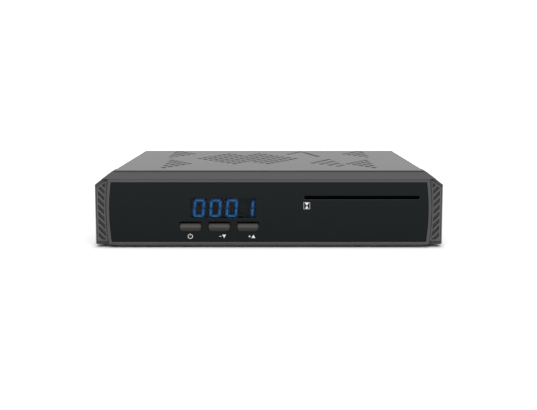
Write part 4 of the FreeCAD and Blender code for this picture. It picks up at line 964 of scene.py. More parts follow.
class GeoTree(Builder):
    """A Geometry Nodes tree under construction, with a named input for each of its sizes."""

    def __init__(self, name: str, *labels: str) -> None:
        """Make the tree with its points, its finish and its sizes as inputs.

        Args:
            name: The tree's name.
            labels: The sizes' names.
        """
        super().__init__(bpy.data.node_groups.new(name, "GeometryNodeTree"))
        kinds = {"Geometry": "NodeSocketGeometry", "Finish": "NodeSocketMaterial",
                 **dict.fromkeys(labels, "NodeSocketFloat")}
        sockets = self.tree.interface
        sockets.new_socket("Geometry", in_out="OUTPUT", socket_type="NodeSocketGeometry")
        self.identifiers = {
            label: sockets.new_socket(label, in_out="INPUT", socket_type=kind).identifier
            for label, kind in kinds.items()}
        self.entry = self.tree.nodes.new("NodeGroupInput")
        self.sizes = [Value(self, self.entry.outputs[label]) for label in labels]

    def vector(self, x: Operand, y: Operand, z: Operand) -> Socket:
        """Return a vector of three numbers."""
        return self.make("ShaderNodeCombineXYZ", {0: x, 1: y, 2: z})

    def position(self) -> tuple[Value, ...]:
        """Return the three numbers of each point's position."""
        return self.split(self.make("GeometryNodeInputPosition"))

    def box(self, *size: Operand) -> Socket:
        """Return a box of a size along X, Y and Z round the origin."""
        return self.make("GeometryNodeMeshCube", {"Size": self.vector(*size)})

    def shifted(self, geometry: Socket, *shift: Operand) -> Socket:
        """Return a geometry whose points are moved along X, Y and Z."""
        return self.make("GeometryNodeSetPosition",
                         {"Geometry": geometry, "Offset": self.vector(*shift)})

    def join(self, *parts: Socket) -> Socket:
        """Put several geometries together.

        Args:
            parts: The geometries.

        Returns:
            All of them as one.
        """
        node = self.node("GeometryNodeJoinGeometry")
        for part in reversed(parts):
            self.tree.links.new(part, node.inputs[0])
        return node.outputs[0]

    def swept(self, path: Socket, profile: Socket, caps: bool = False) -> Socket:
        """Return the surface that a profile sweeps along a path."""
        return self.make("GeometryNodeCurveToMesh",
                         {"Curve": path, "Profile Curve": profile, "Fill Caps": caps})

    def crossed(self, part: Socket, length: Value, width: Value, depth: Value, lift: Value,
                taper: float = 0.0) -> Socket:
        """Cut a cross out of a part's top.

        Args:
            part: The geometry to cut.
            length: How long each arm of the cross is.
            width: How wide each arm is.
            depth: How deep each arm is.
            lift: How high the arms' middle is.
            taper: The share by which the arms shrink downwards.

        Returns:
            The cut part.
        """
        cut = self.node("GeometryNodeMeshBoolean", {"Mesh 1": part}, operation="DIFFERENCE",
                        solver="EXACT")
        for size in ((length, width, depth), (width, length, depth)):
            bar = self.box(*size)
            x, y, z = self.position()
            shrink = z.below(0.0) * -taper
            arm = self.shifted(bar, x * shrink, y * shrink, lift)
            self.tree.links.new(arm, cut.inputs["Mesh 2"])
        return cut.outputs[0]

    def repeat(self, part: Socket, seed: Optional[int] = None) -> Socket:
        """Put the part on every point of the geometry: Z along the point's aim, Y upwards.

        Args:
            part: The geometry to repeat.
            seed: Turns each copy about its own axis by a random angle, where given.

        Returns:
            The instances.
        """
        aim = self.make("GeometryNodeInputNamedAttribute", {"Name": "aim"},
                        data_type="FLOAT_VECTOR")
        turn = self.make("FunctionNodeAlignRotationToVector", {"Vector": aim}, axis="Z")
        turn = self.make("FunctionNodeAlignRotationToVector",
                         {"Rotation": turn, "Vector": (0, 0, 1)}, axis="Y", pivot_axis="Z")
        if seed is not None:
            spin = self.node("FunctionNodeRandomValue",
                             {"Min": 0.0, "Max": math.tau, "Seed": seed},
                             data_type="FLOAT").outputs[1]
            local = self.make("FunctionNodeAxisAngleToRotation",
                              {"Axis": (0, 0, 1), "Angle": spin})
            turn = self.make("FunctionNodeRotateRotation", {0: turn, 1: local},
                             rotation_space="LOCAL")
        return self.make("GeometryNodeInstanceOnPoints",
                         {"Points": self.entry.outputs["Geometry"], "Instance": part,
                          "Rotation": turn})

    def close(self, geometry: Socket) -> "GeoTree":
        """End the tree with real geometry that carries the finish.

        Args:
            geometry: What the tree makes.

        Returns:
            The tree.
        """
        real = self.make("GeometryNodeRealizeInstances", {0: geometry})
        dressed = self.make("GeometryNodeSetMaterial",
                            {"Geometry": real, "Material": self.entry.outputs["Finish"]})
        self.node("NodeGroupOutput", {0: dressed})
        return self

    def mesh(self, seats: Iterable[Seat], finish: Enum, **sizes: float) -> Mesh:
        """Run the tree on a mesh of loose points.

        Args:
            seats: Each point's place and the direction that it aims in.
            finish: What the result is made of.
            sizes: The tree's sizes by name.

        Returns:
            The result as a plain mesh.
        """
        places, aims = zip(*seats)
        points = bpy.data.meshes.new("points")
        points.from_pydata([tuple(place) for place in places], [], [])
        for item, aim in zip(points.attributes.new("aim", "FLOAT_VECTOR", "POINT").data, aims):
            item.vector = aim
        carrier = new_object("carrier", points)
        modifier = carrier.modifiers.new("tree", "NODES")
        modifier.node_group = self.tree
        modifier[self.identifiers["Finish"]] = material(finish)
        for label, size in sizes.items():
            modifier[self.identifiers[label]] = size
        return applied(carrier)


# ---- Sub-assemblies -----------------------------------------------------------------------------

@dataclass
class SoftShells:
    """The moulded pieces whose edges are a little round."""

    fascia_edge: float = 0.22 * MM
    trim_edge: float = 0.12 * MM

    def build(self) -> None:
        """Add a rounded copy of each shell."""
        present("fascia_shell", rounded_copy("fascia_frame", self.fascia_edge),
                Slot.fascia_plastic, replaces=("fascia_frame",))
        for side in ("left", "right"):
            node = side + "_cheek_trim"
            shell = rounded_copy(node, self.trim_edge, pierced=True)
            present(side + "_trim_shell", shell, Slot.trim_plastic, replaces=(node,))


@dataclass
class PushKeys:
    """The three keys: a domed cap with rounder upper and lower corners, and the flange behind.

    The dome is a row of (inset, depth) steps in millimetres, from the cap's rim to its face.
    """

    half_width: float = 5.25 * MM
    height: float = 4.05 * MM
    top_round: float = 0.95 * MM
    low_round: float = 1.55 * MM
    least_round: float = 0.02 * MM
    rise: float = 0.25 * MM
    cut: float = 2.2 * MM
    steps: int = 8
    dome: tuple[Point, ...] = ((0.0, 2.3), (0.0, 1.2), (0.06, 0.85), (0.22, 0.56), (0.48, 0.33),
                               (0.82, 0.17), (1.2, 0.07), (1.6, 0.02), (1.92, 0.0))
    keys: dict[str, str] = field(default_factory=lambda: {
        "power_button": "power_key",
        "channel_down_button": "channel_down_key",
        "channel_up_button": "channel_up_key",
    })

    def outline(self, x: float, z: float, inset: float) -> Outline:
        """Draw the cap's outline.

        Args:
            x: The x of its middle.
            z: The z of its middle.
            inset: How far it is drawn in.

        Returns:
            Its points, anticlockwise.
        """
        half, tall = self.half_width - inset, self.height / 2 - inset
        ends = ((1, 1, self.top_round), (-1, 1, self.top_round),
                (-1, -1, self.low_round), (1, -1, self.low_round))
        points = []
        for quarter, (side, end, corner) in enumerate(ends):
            radius = min(max(corner - inset, self.least_round), tall)
            for i in range(self.steps + 1):
                angle = math.pi / 2 * (quarter + i / self.steps)
                points.append((x + side * (half - radius) + radius * math.cos(angle),
                               z + end * (tall - radius) + radius * math.sin(angle)))
        return points

    def cap(self, node: str) -> Shell:
        """Make a key's cap, its face at the CAD node's front.

        Args:
            node: The CAD node.

        Returns:
            The cap as a closed shell.
        """
        low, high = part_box(node)
        x, z = (low.x + high.x) / 2, high.z - self.height / 2
        work = bmesh.new()
        rings = []
        for inset, depth in self.dome:
            lift = self.rise * inset / self.dome[-1][0]
            rings.append([work.verts.new((across, low.y + depth * MM, up + lift))
                          for across, up in self.outline(x, z, inset * MM)])
        for outer, inner in zip(rings, rings[1:]):
            bridge(work, outer, inner)
        work.faces.new(rings[0])
        work.faces.new(rings[-1])
        bmesh.ops.remove_doubles(work, verts=work.verts, dist=2 * WELD)
        bmesh.ops.recalc_face_normals(work, faces=work.faces)
        return work

    def flange(self, node: str) -> Shell:
        """Cut off the hidden rear of a CAD node.

        Args:
            node: The CAD node.

        Returns:
            The rear as a closed shell.
        """
        work = flattened(node)
        plane = Vector((0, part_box(node)[0].y + self.cut, 0))
        everything = work.verts[:] + work.edges[:] + work.faces[:]
        bmesh.ops.bisect_plane(work, geom=everything, plane_co=plane, plane_no=along(1, -1),
                               clear_outer=True)
        bmesh.ops.holes_fill(work, edges=[edge for edge in work.edges if edge.is_boundary])
        bmesh.ops.recalc_face_normals(work, faces=work.faces)
        return work

    def build(self) -> None:
        """Add each key on its own body."""
        for node, body in self.keys.items():
            parts = [shade(settled(part(node), node)) for part in (self.cap, self.flange)]
            present(node + "_cap", joined(parts, node + "_cap"), Slot.button_plastic,
                    body=body, replaces=(node,))


@dataclass
class PrintedSigns:
    """Generic signs printed on the black panel."""

    stroke: float = 0.24 * MM
    ink: float = 0.02 * MM
    lift: float = 0.005 * MM
    sign_height: float = 5.7 * MM
    power_shift: float = -0.15 * MM
    power_radius: float = 1.08 * MM
    power_stroke: float = 0.28 * MM
    power_gap: float = 0.62
    power_steps: int = 26
    power_line: Point = (0.5, 1.3)
    arrow: Point = (1.95 * MM, 1.7 * MM)
    level_gap: float = 1.7 * MM
    level_length: float = 1.1 * MM
    channel_shifts: Point = (2.35 * MM, 2.63 * MM)
    card_place: Point = (18.4 * MM, 20.77 * MM)
    card_size: Point = (2.9 * MM, 3.15 * MM)
    card_stroke: float = 0.13 * MM
    card_arrow: Point = (2.0 * MM, 1.45 * MM)
    card_chip: float = 1.0 * MM

    @staticmethod
    def bar(start: Point, end: Point, width: float) -> Outline:
        """Draw a straight stroke.

        Args:
            start: Where it starts.
            end: Where it ends.
            width: How wide it is.

        Returns:
            Its outline.
        """
        (x0, z0), (x1, z1) = start, end
        share = width / 2 / math.hypot(x1 - x0, z1 - z0)
        aside, up = (z0 - z1) * share, (x1 - x0) * share
        return [(x0 - aside, z0 - up), (x1 - aside, z1 - up),
                (x1 + aside, z1 + up), (x0 + aside, z0 + up)]

    def power(self, x: float, z: float) -> list[Outline]:
        """Draw an open ring with a stroke in its gap.

        Args:
            x: The x of its middle.
            z: The z of its middle.

        Returns:
            The outlines of the ring's short pieces and the stroke.
        """
        inner, outer = (self.power_radius + side * self.power_stroke / 2 for side in (-1, 1))
        steps, gap = self.power_steps, self.power_gap
        turns = [(math.pi + gap) / 2 + (math.tau - gap) * i / steps for i in range(steps + 1)]
        ring = [[(x + radius * math.cos(turn), z + radius * math.sin(turn))
                 for radius, turn in ((inner, start), (outer, start), (outer, end), (inner, end))]
                for start, end in zip(turns, turns[1:])]
        low, top = (z + self.power_radius * share for share in self.power_line)
        return ring + [self.bar((x, low), (x, top), self.power_stroke)]

    def channel(self, x: float, z: float, side: int) -> list[Outline]:
        """Draw a triangle with a plus or a minus before it.

        Args:
            x: The x of the triangle's middle.
            z: The z of its middle.
            side: +1 for a triangle that points up with a plus, -1 for the other.

        Returns:
            The outlines.
        """
        half, tall = (side * length / 2 for length in self.arrow)
        left, reach = x - (self.arrow[0] + self.level_gap) / 2, self.level_length / 2
        shapes = [[(x - half, z - tall), (x + half, z - tall), (x, z + tall)],
                  self.bar((left - reach, z), (left + reach, z), self.stroke)]
        if side > 0:
            shapes += [self.bar((left, z + end * self.stroke / 2), (left, z + end * reach),
                                self.stroke) for end in (-1, 1)]
        return shapes

    def card(self) -> list[Outline]:
        """Draw a card's frame with its chip and an arrow that points at the chip.

        Returns:
            The outlines.
        """
        (x, z), (width, height), stroke = self.card_place, self.card_size, self.card_stroke
        x0, x1, z0, z1 = x - width / 2, x + width / 2, z - height / 2, z + height / 2
        half = stroke / 2
        frame_bars = [((x0 - half, z0), (x1 + half, z0)), ((x0 - half, z1), (x1 + half, z1)),
                      ((x0, z0 + half), (x0, z1 - half)), ((x1, z0 + half), (x1, z1 - half))]
        shapes = [self.bar(start, end, stroke) for start, end in frame_bars]
        low, chip, side = z0 + stroke, self.card_chip, self.card_chip / 2
        shapes.append([(x - side, low), (x + side, low), (x + side, low + chip),
                       (x - side, low + chip)])
        top, reach = z1 - stroke, self.card_arrow[0] / 2
        shapes.append([(x, top - self.card_arrow[1]), (x + reach, top), (x - reach, top)])
        return shapes

    def build(self) -> None:
        """Add every sign."""
        boxes = {key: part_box(key + "_button") for key in ("power", "channel_down", "channel_up")}
        power, down, up = ((low.x + high.x) / 2 for low, high in boxes.values())
        signs = {
            "power_sign": self.power(power + self.power_shift, self.sign_height),
            "channel_down_sign": self.channel(down + self.channel_shifts[0],
                                              self.sign_height, -1),
            "channel_up_sign": self.channel(up + self.channel_shifts[1], self.sign_height, 1),
            "card_sign": self.card(),
        }
        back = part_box("front_panel")[0].y - self.lift
        for name, outlines in signs.items():
            mesh = settled(prism(outlines, back - self.ink, back), name)
            present(name, mesh, Extra.ink, Slot.panel_black)


@dataclass
class DisplayGlow:
    """The light that spreads round the lit bars of the display."""

    spread: float = 0.5 * MM
    depth: float = 0.04 * MM
    step: float = 0.0005 * MM
    corner: float = 0.8

    def build(self) -> None:
        """Add a glowing border round each lit bar, each a hair thinner than the one before."""
        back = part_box("segments_lit")[1].y
        reach, cut = self.spread, self.spread * self.corner
        meshes = []
        for i, (low, high) in enumerate(islands("segments_lit")):
            x0, x1, z0, z1 = low.x - reach, high.x + reach, low.z - reach, high.z + reach
            outline = [(x0 + cut, z0), (x1 - cut, z0), (x1, z0 + cut), (x1, z1 - cut),
                       (x1 - cut, z1), (x0 + cut, z1), (x0, z1 - cut), (x0, z0 + cut)]
            front = back - self.depth + i * self.step
            meshes.append(settled(prism([outline], front, back), "halo"))
        present("display_halo", joined(meshes, "display_halo"), Extra.halo, Slot.segment_glow)


def hole_shade_tree() -> GeoTree:
    """Make the tree of a ring of painted shade in a punched hole.

    Returns:
        The tree, which hangs a dark ring from each point.
    """
    tree = GeoTree("hole_shade_ring", "inner", "outer", "depth")
    inner, outer, depth = tree.sizes
    ring = tree.make("GeometryNodeCurvePrimitiveCircle",
                     {"Resolution": 14, "Radius": (inner + outer) / 2})
    wall = tree.make("GeometryNodeCurvePrimitiveQuadrilateral",
                     {"Width": outer - inner, "Height": depth})
    return tree.close(tree.repeat(tree.shifted(tree.swept(ring, wall), 0, 0, depth * -0.5)))


@dataclass
class LidDetails:
    """Painted shade in the lid's punched holes and a painted shadow strip where lid meets fascia.
    """

    sheet: float = 0.8 * MM
    hole_depth: float = 0.6 * MM
    hole_limit: float = 4 * MM
    hole_slant: float = 0.2
    hole_oval: float = 0.2 * MM
    hole_sides: int = 6
    overlap: float = 0.3 * MM
    wall: float = 0.06 * MM
    lift: float = 0.02 * MM
    seam_depth: float = 0.12 * MM
    seam_rise: float = 0.3 * MM
    seam_sink: float = 0.05 * MM
    seam_margin: float = 0.6 * MM

    def holes(self) -> list[tuple[Vector, float]]:
        """Find the round holes in the lid's top.

        Returns:
            The upper middle and the radius of each.
        """
        work = flattened("top_cover")
        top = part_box("top_cover")[1].z
        walls = [face for face in work.faces if abs(face.normal.z) < self.hole_slant
                 and top - face.calc_center_median().z < self.hole_depth]
        found = []
        for faces in groups(walls, lambda face: (other for edge in face.edges
                                                 for other in edge.link_faces)):
            low, high = corners(vertex.co for face in faces for vertex in face.verts)
            middle, size = (low + high) / 2, high - low
            oval = abs(size.x - size.y)
            if len(faces) >= self.hole_sides and size.x < self.hole_limit and oval < self.hole_oval:
                found.append((Vector((middle.x, middle.y, top)), size.x / 2))
        work.free()
        return found

    def build(self) -> None:
        """Add the painted shade rings and the painted shadow strip."""
        holes = self.holes()
        LOG.info("%d holes in the lid", len(holes))
        radius = sum(size for _, size in holes) / len(holes)
        up = along(2)
        # Dark rings of painted shade over the holes' walls and the rims around them.
        hole_shades = hole_shade_tree().mesh([(place + up * self.lift, up) for place, _ in holes],
                               Extra.hole_edge, inner=radius - self.wall,
                               outer=radius + self.overlap, depth=self.sheet + 2 * self.lift)
        present("lid_hole_shades", hole_shades, Extra.hole_edge, Slot.lid_paint)
        # A strip of painted shadow in the gap between lid and fascia.
        low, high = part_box("top_cover")
        half = high.x - self.seam_margin
        z0, z1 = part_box("fascia_frame")[1].z - self.seam_sink, high.z - self.seam_rise
        strip = prism([[(-half, z0), (half, z0), (half, z1), (-half, z1)]],
                      low.y - self.seam_depth, low.y)
        present("lid_seam_shadow", settled(strip, "lid_seam_shadow"), Extra.seam, Slot.fascia_plastic)


def screw_tree() -> GeoTree:
    """Make the tree of a pan-head screw with a cross recess.

    Returns:
        The tree, which seats a screw's head on each point.
    """
    tree = GeoTree("pan_head_screw", "radius", "height", "crown", "recess", "shank", "length")
    radius, height, crown, recess, shank, length = tree.sizes
    disc = tree.make("GeometryNodeMeshCylinder",
                     {"Vertices": 32, "Fill Segments": 7, "Radius": radius, "Depth": height})
    x, y, z = tree.position()
    fall = crown * ((x * x + y * y).math("SQRT") / radius).math("POWER", 3.0) * z.above(0.0)
    head = tree.crossed(tree.shifted(disc, 0, 0, height / 2 - fall), length=recess * 2.0,
                        width=recess * 0.54, depth=height, lift=height * 0.95, taper=0.55)
    rod = tree.make("GeometryNodeMeshCylinder", {"Vertices": 16, "Radius": shank, "Depth": length})
    return tree.close(tree.repeat(tree.join(head, tree.shifted(rod, 0, 0, length * -0.5)), seed=5))


@dataclass(frozen=True)
class ScrewHead:
    """The head of one kind of screw: its size and how far its rim lies under its middle."""

    radius: float
    height: float
    crown: float


@dataclass
class Screws:
    """Cross-recessed screws in place of the plain ones."""

    cover: ScrewHead = ScrewHead(2.8 * MM, 1.6 * MM, 0.72 * MM)
    fascia: ScrewHead = ScrewHead(2.8 * MM, 0.8 * MM, 0.3 * MM)
    board: ScrewHead = ScrewHead(2.2 * MM, 1.2 * MM, 0.45 * MM)
    shank: float = 1.35 * MM
    shank_share: float = 0.5
    recess_share: float = 0.56
    rear_level: float = 20 * MM

    def row(self, tree: GeoTree, node: str, head: ScrewHead, axis: int,
            side: Callable[[Vector], int]) -> Mesh:
        """Make the screws of a CAD node that run along one axis.

        Args:
            tree: The tree of a screw.
            node: The CAD node.
            head: The screws' head.
            axis: The axis that they run along.
            side: Gives, for a screw's lowest corner, +1 or -1 for the end that its head is at,
                or 0 for a screw that isn't of this row.

        Returns:
            The screws, as long as the last of them.
        """
        seats, length = [], 0.0
        for low, high in islands(node):
            end = side(low)
            if end:
                place = (low + high) / 2
                place[axis] = (high if end > 0 else low)[axis] - end * head.height
                length = (high - low)[axis] - head.height
                seats.append((place, along(axis, end)))
        return tree.mesh(seats, Slot.screw_steel, radius=head.radius, height=head.height,
                         crown=head.crown, recess=head.radius * self.recess_share,
                         shank=min(self.shank, head.radius * self.shank_share), length=length)

    def flank(self, low: Vector) -> int:
        """Return which flank of the case a cover screw is in, or 0 for one in the rear."""
        return 0 if low.z > self.rear_level else -1 if low.x < 0 else 1

    def build(self) -> None:
        """Add each group of screws."""
        tree = screw_tree()
        cover = [self.row(tree, "cover_screws", self.cover, 0, self.flank),
                 self.row(tree, "cover_screws", self.cover, 1,
                          lambda low: 0 if self.flank(low) else 1)]
        rows = {
            "cover_screws": joined(cover, "cover_screws"),
            "fascia_screws": self.row(tree, "fascia_screws", self.fascia, 2, lambda low: -1),
            "board_screws": self.row(tree, "board_screws", self.board, 2, lambda low: 1),
            "front_board_screws": self.row(tree, "front_board_screws", self.board, 1,
                                           lambda low: 1),
        }
        for node, mesh in rows.items():
            finish = Slot.tin_steel if node == "board_screws" else Slot.screw_steel
            present(node.replace("screws", "pan_screws"), shade(mesh), finish, replaces=(node,))


def thread_tree() -> GeoTree:
    """Make the tree of a thread's ridge.

    Returns:
        The tree, which winds a ridge up from each point.
    """
    tree = GeoTree("thread", "radius", "length", "pitch", "ridge")
    radius, length, pitch, ridge = tree.sizes
    spiral = tree.make("GeometryNodeCurveSpiral",
                       {"Resolution": 40, "Rotations": length / pitch, "Start Radius": radius,
                        "End Radius": radius, "Height": length})
    profile = tree.make("GeometryNodeCurvePrimitiveCircle", {"Resolution": 6, "Radius": ridge})
    return tree.close(tree.repeat(tree.swept(spiral, profile, caps=True)))


@dataclass
class AerialConnectors:
    """The two threaded connectors on the rear wall."""

    thread: float = 4.76 * MM
    core: float = 4.5 * MM
    shoulder: float = 5.2 * MM
    shoulder_length: float = 1.2 * MM
    shoulder_sink: float = 0.1 * MM
    bore: float = 3.3 * MM
    nut: float = 6.4 * MM
    nut_length: float = 2.0 * MM
    edge: float = 0.35 * MM
    pitch: float = 0.794 * MM
    ridge_share: float = 0.36
    margins: Point = (0.3 * MM, 0.5 * MM)
    sides: int = 48
    sharp_angle: float = 40.0
    nodes: tuple[str, ...] = ("lnb_input_connector", "loop_output_connector")

    def turned_parts(self, length: float, wall: float) -> list[Shell]:
        """Turn a connector's parts round the Z axis.

        Args:
            length: How long the connector is.
            wall: How far up the rear wall's outer face is.

        Returns:
            The bored core, the shoulder on the wall and the nut.
        """
        edge, core, bore = self.edge, self.core, self.bore
        inside, low, top = core - edge, wall - self.shoulder_sink, wall + self.shoulder_length
        tube = [(bore + edge, length), (bore, length - edge), (bore, 0.0), (core, 0.0),
                (core, length - edge), (inside, length)]
        collar = [(inside, low), (self.shoulder, low), (self.shoulder, top - edge),
                  (self.shoulder - edge, top), (inside, top)]
        nut = [(inside, 0.0), (self.nut, 0.0), (self.nut, self.nut_length),
               (inside, self.nut_length)]
        return [revolved(tube, self.sides), revolved(collar, self.sides), revolved(nut, 6)]

    def build(self) -> None:
        """Add each connector as a bored core with its thread, shoulder and nut."""
        tree = thread_tree()
        aim = along(1)
        turn = aim.to_track_quat("Z", "Y").to_matrix().to_4x4()
        ridge = self.pitch * self.ridge_share
        for node in self.nodes:
            low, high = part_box(node)
            base = Vector(((low.x + high.x) / 2, low.y, (low.z + high.z) / 2))
            length, wall = high.y - low.y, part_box("chassis_base")[1].y - low.y
            meshes = [settled(part, "part") for part in self.turned_parts(length, wall)]
            for mesh in meshes:
                mesh.transform(Matrix.Translation(base) @ turn)
            start = wall + self.shoulder_length + self.margins[0]
            meshes.append(tree.mesh([(base + aim * start, aim)], Slot.nickel, ridge=ridge,
                                    radius=self.thread - ridge, pitch=self.pitch,
                                    length=length - start - self.margins[1]))
            present(node.replace("connector", "thread"),
                    shade(joined(meshes, node), self.sharp_angle), Slot.nickel, replaces=(node,))


def lead_tree() -> GeoTree:
    """Make the tree of a chip's bent lead.

    Returns:
        The tree, which sets a lead at each point, its foot along the aim.
    """
    tree = GeoTree("chip_lead", "width", "reach", "drop")
    width, reach, drop = tree.sizes
    sheet = drop * 0.18
    shoulder = tree.shifted(tree.box(width, sheet, reach * 0.45), 0, 0, reach * 0.2)
    leg = tree.shifted(tree.box(width, drop, drop * 0.2), 0, drop * -0.5, reach * 0.42)
    foot = tree.shifted(tree.box(width, sheet, reach * 0.55), 0, drop * -1.0, reach * 0.7)
    return tree.close(tree.repeat(tree.join(shoulder, leg, foot)))


@dataclass
class ChipLeads:
    """The bent leads along the sides of the chips."""

    pitch: float = 0.8 * MM
    width: float = 0.32 * MM
    reach: float = 0.9 * MM
    margin: float = 0.6 * MM
    drop_share: float = 0.45
    axes: dict[str, tuple[int, ...]] = field(default_factory=lambda: {
        "processor": (0, 1), "memory_chips": (0,), "small_chips": (1,)})

    def seats(self, low: Vector, high: Vector, axis: int) -> list[Seat]:
        """Place the leads on two sides of a chip.

        Args:
            low: The chip's lowest corner.
            high: Its highest corner.
            axis: The axis that the two sides face along.

        Returns:
            Each lead's place and direction.
        """
        other = 1 - axis
        span = high[other] - low[other] - 2 * self.margin
        count = max(2, round(span / self.pitch) + 1)
        found = []
        for side, end in ((-1, low), (1, high)):
            for i in range(count):
                place = (low + high) / 2
                place[axis] = end[axis]
                place[other] = low[other] + self.margin + span * i / (count - 1)
                found.append((place, along(axis, side)))
        return found

    def build(self) -> None:
        """Add the leads of every chip as one piece."""
        tree = lead_tree()
        meshes = []
        for node, axes in self.axes.items():
            for low, high in islands(node):
                seats = [seat for axis in axes for seat in self.seats(low, high, axis)]
                meshes.append(tree.mesh(seats, Slot.tin_steel, width=self.width,
                                        reach=self.reach, drop=(high.z - low.z) * self.drop_share))
        present("chip_leads", joined(meshes, "chip_leads"), Slot.tin_steel)


def strip_tree() -> GeoTree:
    """Return the tree of a small flat bar, its long side upwards, one at each point."""
    tree = GeoTree("strip", "width", "length", "thickness")
    return tree.close(tree.repeat(tree.box(*tree.sizes)))


@dataclass(frozen=True)
class ContactRow:
    """A row of flat contacts on the upper (+1) or lower (-1) face of a socket's tongue."""

    tongue: str
    count: int
    width: float
    side: int

    def seats(self) -> list[Seat]:
        """Spread the contacts evenly over the tongue.

        Returns:
            Each contact's place and direction.
        """
        low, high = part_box(self.tongue)
        step = (high.x - low.x) / (self.count + 1)
        y, z = (low.y + high.y) / 2, (high if self.side > 0 else low).z
        return [(Vector((low.x + step * (i + 1), y, z)), along(2, self.side))
                for i in range(self.count)]


@dataclass
class SocketContacts:
    """The flat contacts on the tongues of the two signal sockets."""

    lift: float = 0.03 * MM
    length_share: float = 0.8
    rows: tuple[ContactRow, ...] = (ContactRow("hdmi_tongue", 10, 0.5 * MM, 1),
                                    ContactRow("hdmi_tongue", 9, 0.5 * MM, -1),
                                    ContactRow("usb_tongue", 4, 1.3 * MM, 1))

    def build(self) -> None:
        """Add the contacts."""
        tree = strip_tree()
        meshes = []
        for row in self.rows:
            low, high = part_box(row.tongue)
            meshes.append(tree.mesh(row.seats(), Slot.gold_contact, width=row.width,
                                    length=(high.y - low.y) * self.length_share,
                                    thickness=self.lift * 2))
        present("socket_strips", joined(meshes, "socket_strips"), Slot.gold_contact)


def can_top_tree() -> GeoTree:
    """Make the tree of a capacitor's scored metal top.

    Returns:
        The tree, which lays a top on each point.
    """
    tree = GeoTree("can_top", "radius", "thickness")
    radius, thickness = tree.sizes
    disc = tree.make("GeometryNodeMeshCylinder",
                     {"Vertices": 32, "Radius": radius, "Depth": thickness * 2.0})
    scored = tree.crossed(disc, length=radius * 1.5, width=radius * 0.1, depth=thickness,
                          lift=thickness)
    return tree.close(tree.repeat(scored, seed=2))


@dataclass
class CanTops:
    """The bare metal tops of the filter capacitors."""

    rim: float = 0.45 * MM
    thickness: float = 0.12 * MM

    def build(self) -> None:
        """Add a top to each can."""
        tree = can_top_tree()
        meshes = []
        for low, high in islands("filter_capacitors"):
            place = Vector(((low.x + high.x) / 2, (low.y + high.y) / 2, high.z))
            meshes.append(tree.mesh([(place, along(2))], Extra.aluminium,
                                    radius=(high.x - low.x) / 2 - self.rim,
                                    thickness=self.thickness))
        present("can_tops", shade(joined(meshes, "can_tops")), Extra.aluminium, Slot.tin_steel)


# ---- Studio -------------------------------------------------------------------------------------

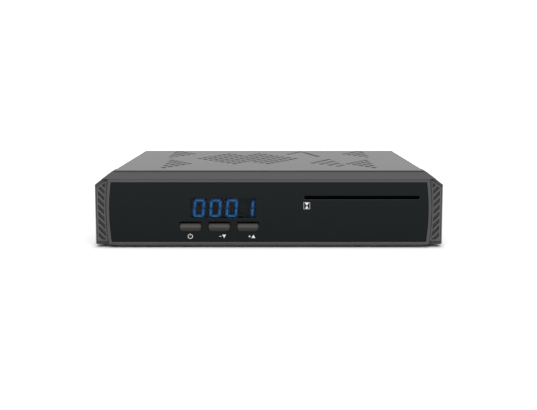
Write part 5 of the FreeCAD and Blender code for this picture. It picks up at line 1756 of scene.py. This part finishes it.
@dataclass
class Studio:
    """Camera, pale floor, soft light and white surroundings.

    Each contact is a rectangle under the object where the floor's glow fades out into a painted
    contact shadow: its half width, its front and its back.
    """

    eye: Triple = (-0.00019, -0.47418, 0.08390)
    tilt: float = 6.219
    lens: float = 57.60
    rise: float = -0.068
    nearest: float = 0.01
    floor_reach: float = 4.0
    floor_colour: Colour = (0.86, 0.86, 0.86)
    floor_grain: float = 0.05
    floor_glow: float = 0.36
    floor_fade: Point = (0.16, 0.6)
    # Rectangles of the painted contact shadow.
    contact: tuple[Triple, Triple] = ((85 * MM, -62 * MM, -44 * MM), (76 * MM, -57 * MM, 53 * MM))
    contact_fade: Point = (-3 * MM, 4 * MM)
    hidden_light: float = 0.6
    lamp_place: Triple = (0.05, -0.55, 0.85)
    lamp_target: Triple = (0, 0, 0.02)
    lamp_size: float = 0.8
    lamp_power: float = 5.0

    def camera(self) -> None:
        """Add the camera."""
        data = bpy.data.cameras.new("camera")
        data.lens = self.lens
        data.shift_y = self.rise
        data.clip_start = self.nearest
        camera = new_object("camera", data)
        camera.location = self.eye
        camera.rotation_euler = (math.radians(90 - self.tilt), 0, 0)
        bpy.context.scene.camera = camera

    @staticmethod
    def seen(builder: Builder) -> Value:
        """Tell the rays that see a surface from those that only carry its light.

        Args:
            builder: The node tree to work in.

        Returns:
            1 for rays from the camera, in a reflection or through glass, else 0.
        """
        path = builder.node("ShaderNodeLightPath")
        direct, glossy, through = (
            Value(builder, path.outputs[name])
            for name in ("Is Camera Ray", "Is Glossy Ray", "Is Transmission Ray"))
        return (direct + glossy + through).least(1.0)

    def floor(self) -> None:
        """Add the floor, with a painted contact shadow under the object."""
        half = self.floor_reach / 2
        mesh = bpy.data.meshes.new("studio_floor")
        mesh.from_pydata([(-half, -half, 0), (half, -half, 0), (half, half, 0), (-half, half, 0)],
                         [], [(0, 1, 2, 3)])
        floor = new_object("studio_floor", mesh)
        shader = Shader("studio_floor")
        x, y, _ = shader.axes()
        far = (x * x + y * y).math("SQRT").ramp(*self.floor_fade)
        # Painted contact shadow: the glow fades out over the object's footprint.
        outside = [(abs(x) - width).most(front - y).most(y - back)
                   for width, front, back in self.contact]
        beside = outside[0].least(outside[1]).ramp(*self.contact_fade)
        glow = self.seen(shader) * beside * (self.floor_glow + far * (1 - self.floor_glow))
        grain = shader.noise(self.floor_grain)
        mesh.materials.append(shader.finish({
            "Base Color": shader.shade(self.floor_colour, 0.45 + grain * 0.1),
            "Roughness": 0.85,
            "Specular IOR Level": 0.1,
            "Emission Color": shader.mix(glow, (0, 0, 0), (1, 1, 1)),
            "Emission Strength": 1.0,
        }))

    def light(self) -> None:
        """Add the soft lamp over the front."""
        data = bpy.data.lights.new("soft_lamp", "AREA")
        data.shape = "SQUARE"
        data.size = self.lamp_size
        data.energy = self.lamp_power
        lamp = new_object("soft_lamp", data)
        lamp.location = self.lamp_place
        aim = Vector(self.lamp_target) - Vector(self.lamp_place)
        lamp.rotation_euler = aim.to_track_quat("-Z", "Y").to_euler()

    def world(self) -> None:
        """Make the surroundings white."""
        world = bpy.data.worlds.new("surroundings")
        world.use_nodes = True
        world.node_tree.nodes.clear()
        builder = Builder(world.node_tree)
        strength = self.hidden_light + self.seen(builder) * (1 - self.hidden_light)
        back = builder.make("ShaderNodeBackground", {"Color": (1, 1, 1, 1), "Strength": strength})
        builder.node("ShaderNodeOutputWorld", {"Surface": back})
        bpy.context.scene.world = world

    def build(self) -> None:
        """Set the whole stage."""
        self.camera()
        self.floor()
        self.light()
        self.world()
        bpy.context.scene.view_settings.view_transform = "Standard"


# ---- Assembly -----------------------------------------------------------------------------------

def paint_nodes() -> None:
    """Give every CAD node the finish of its slot in the record."""
    for part in frame["record"]["subparts"]:
        slot = Slot[part["material_slot"]]
        dress(frame["nodes"][part["node"]].data, slot)
        LOG.info("%s: %s", part["node"], slot.name)


def main() -> None:
    """Dress the model and set the stage."""
    paint_nodes()
    for part in (SoftShells(), PushKeys(), PrintedSigns(), DisplayGlow(), LidDetails(), Screws(),
                 AerialConnectors(), ChipLeads(), SocketContacts(), CanTops(), Studio()):
        LOG.info("building %s", type(part).__name__)
        part.build()


if __name__ == "__main__":
    logging.basicConfig(level=logging.INFO, format="%(message)s")
    main()
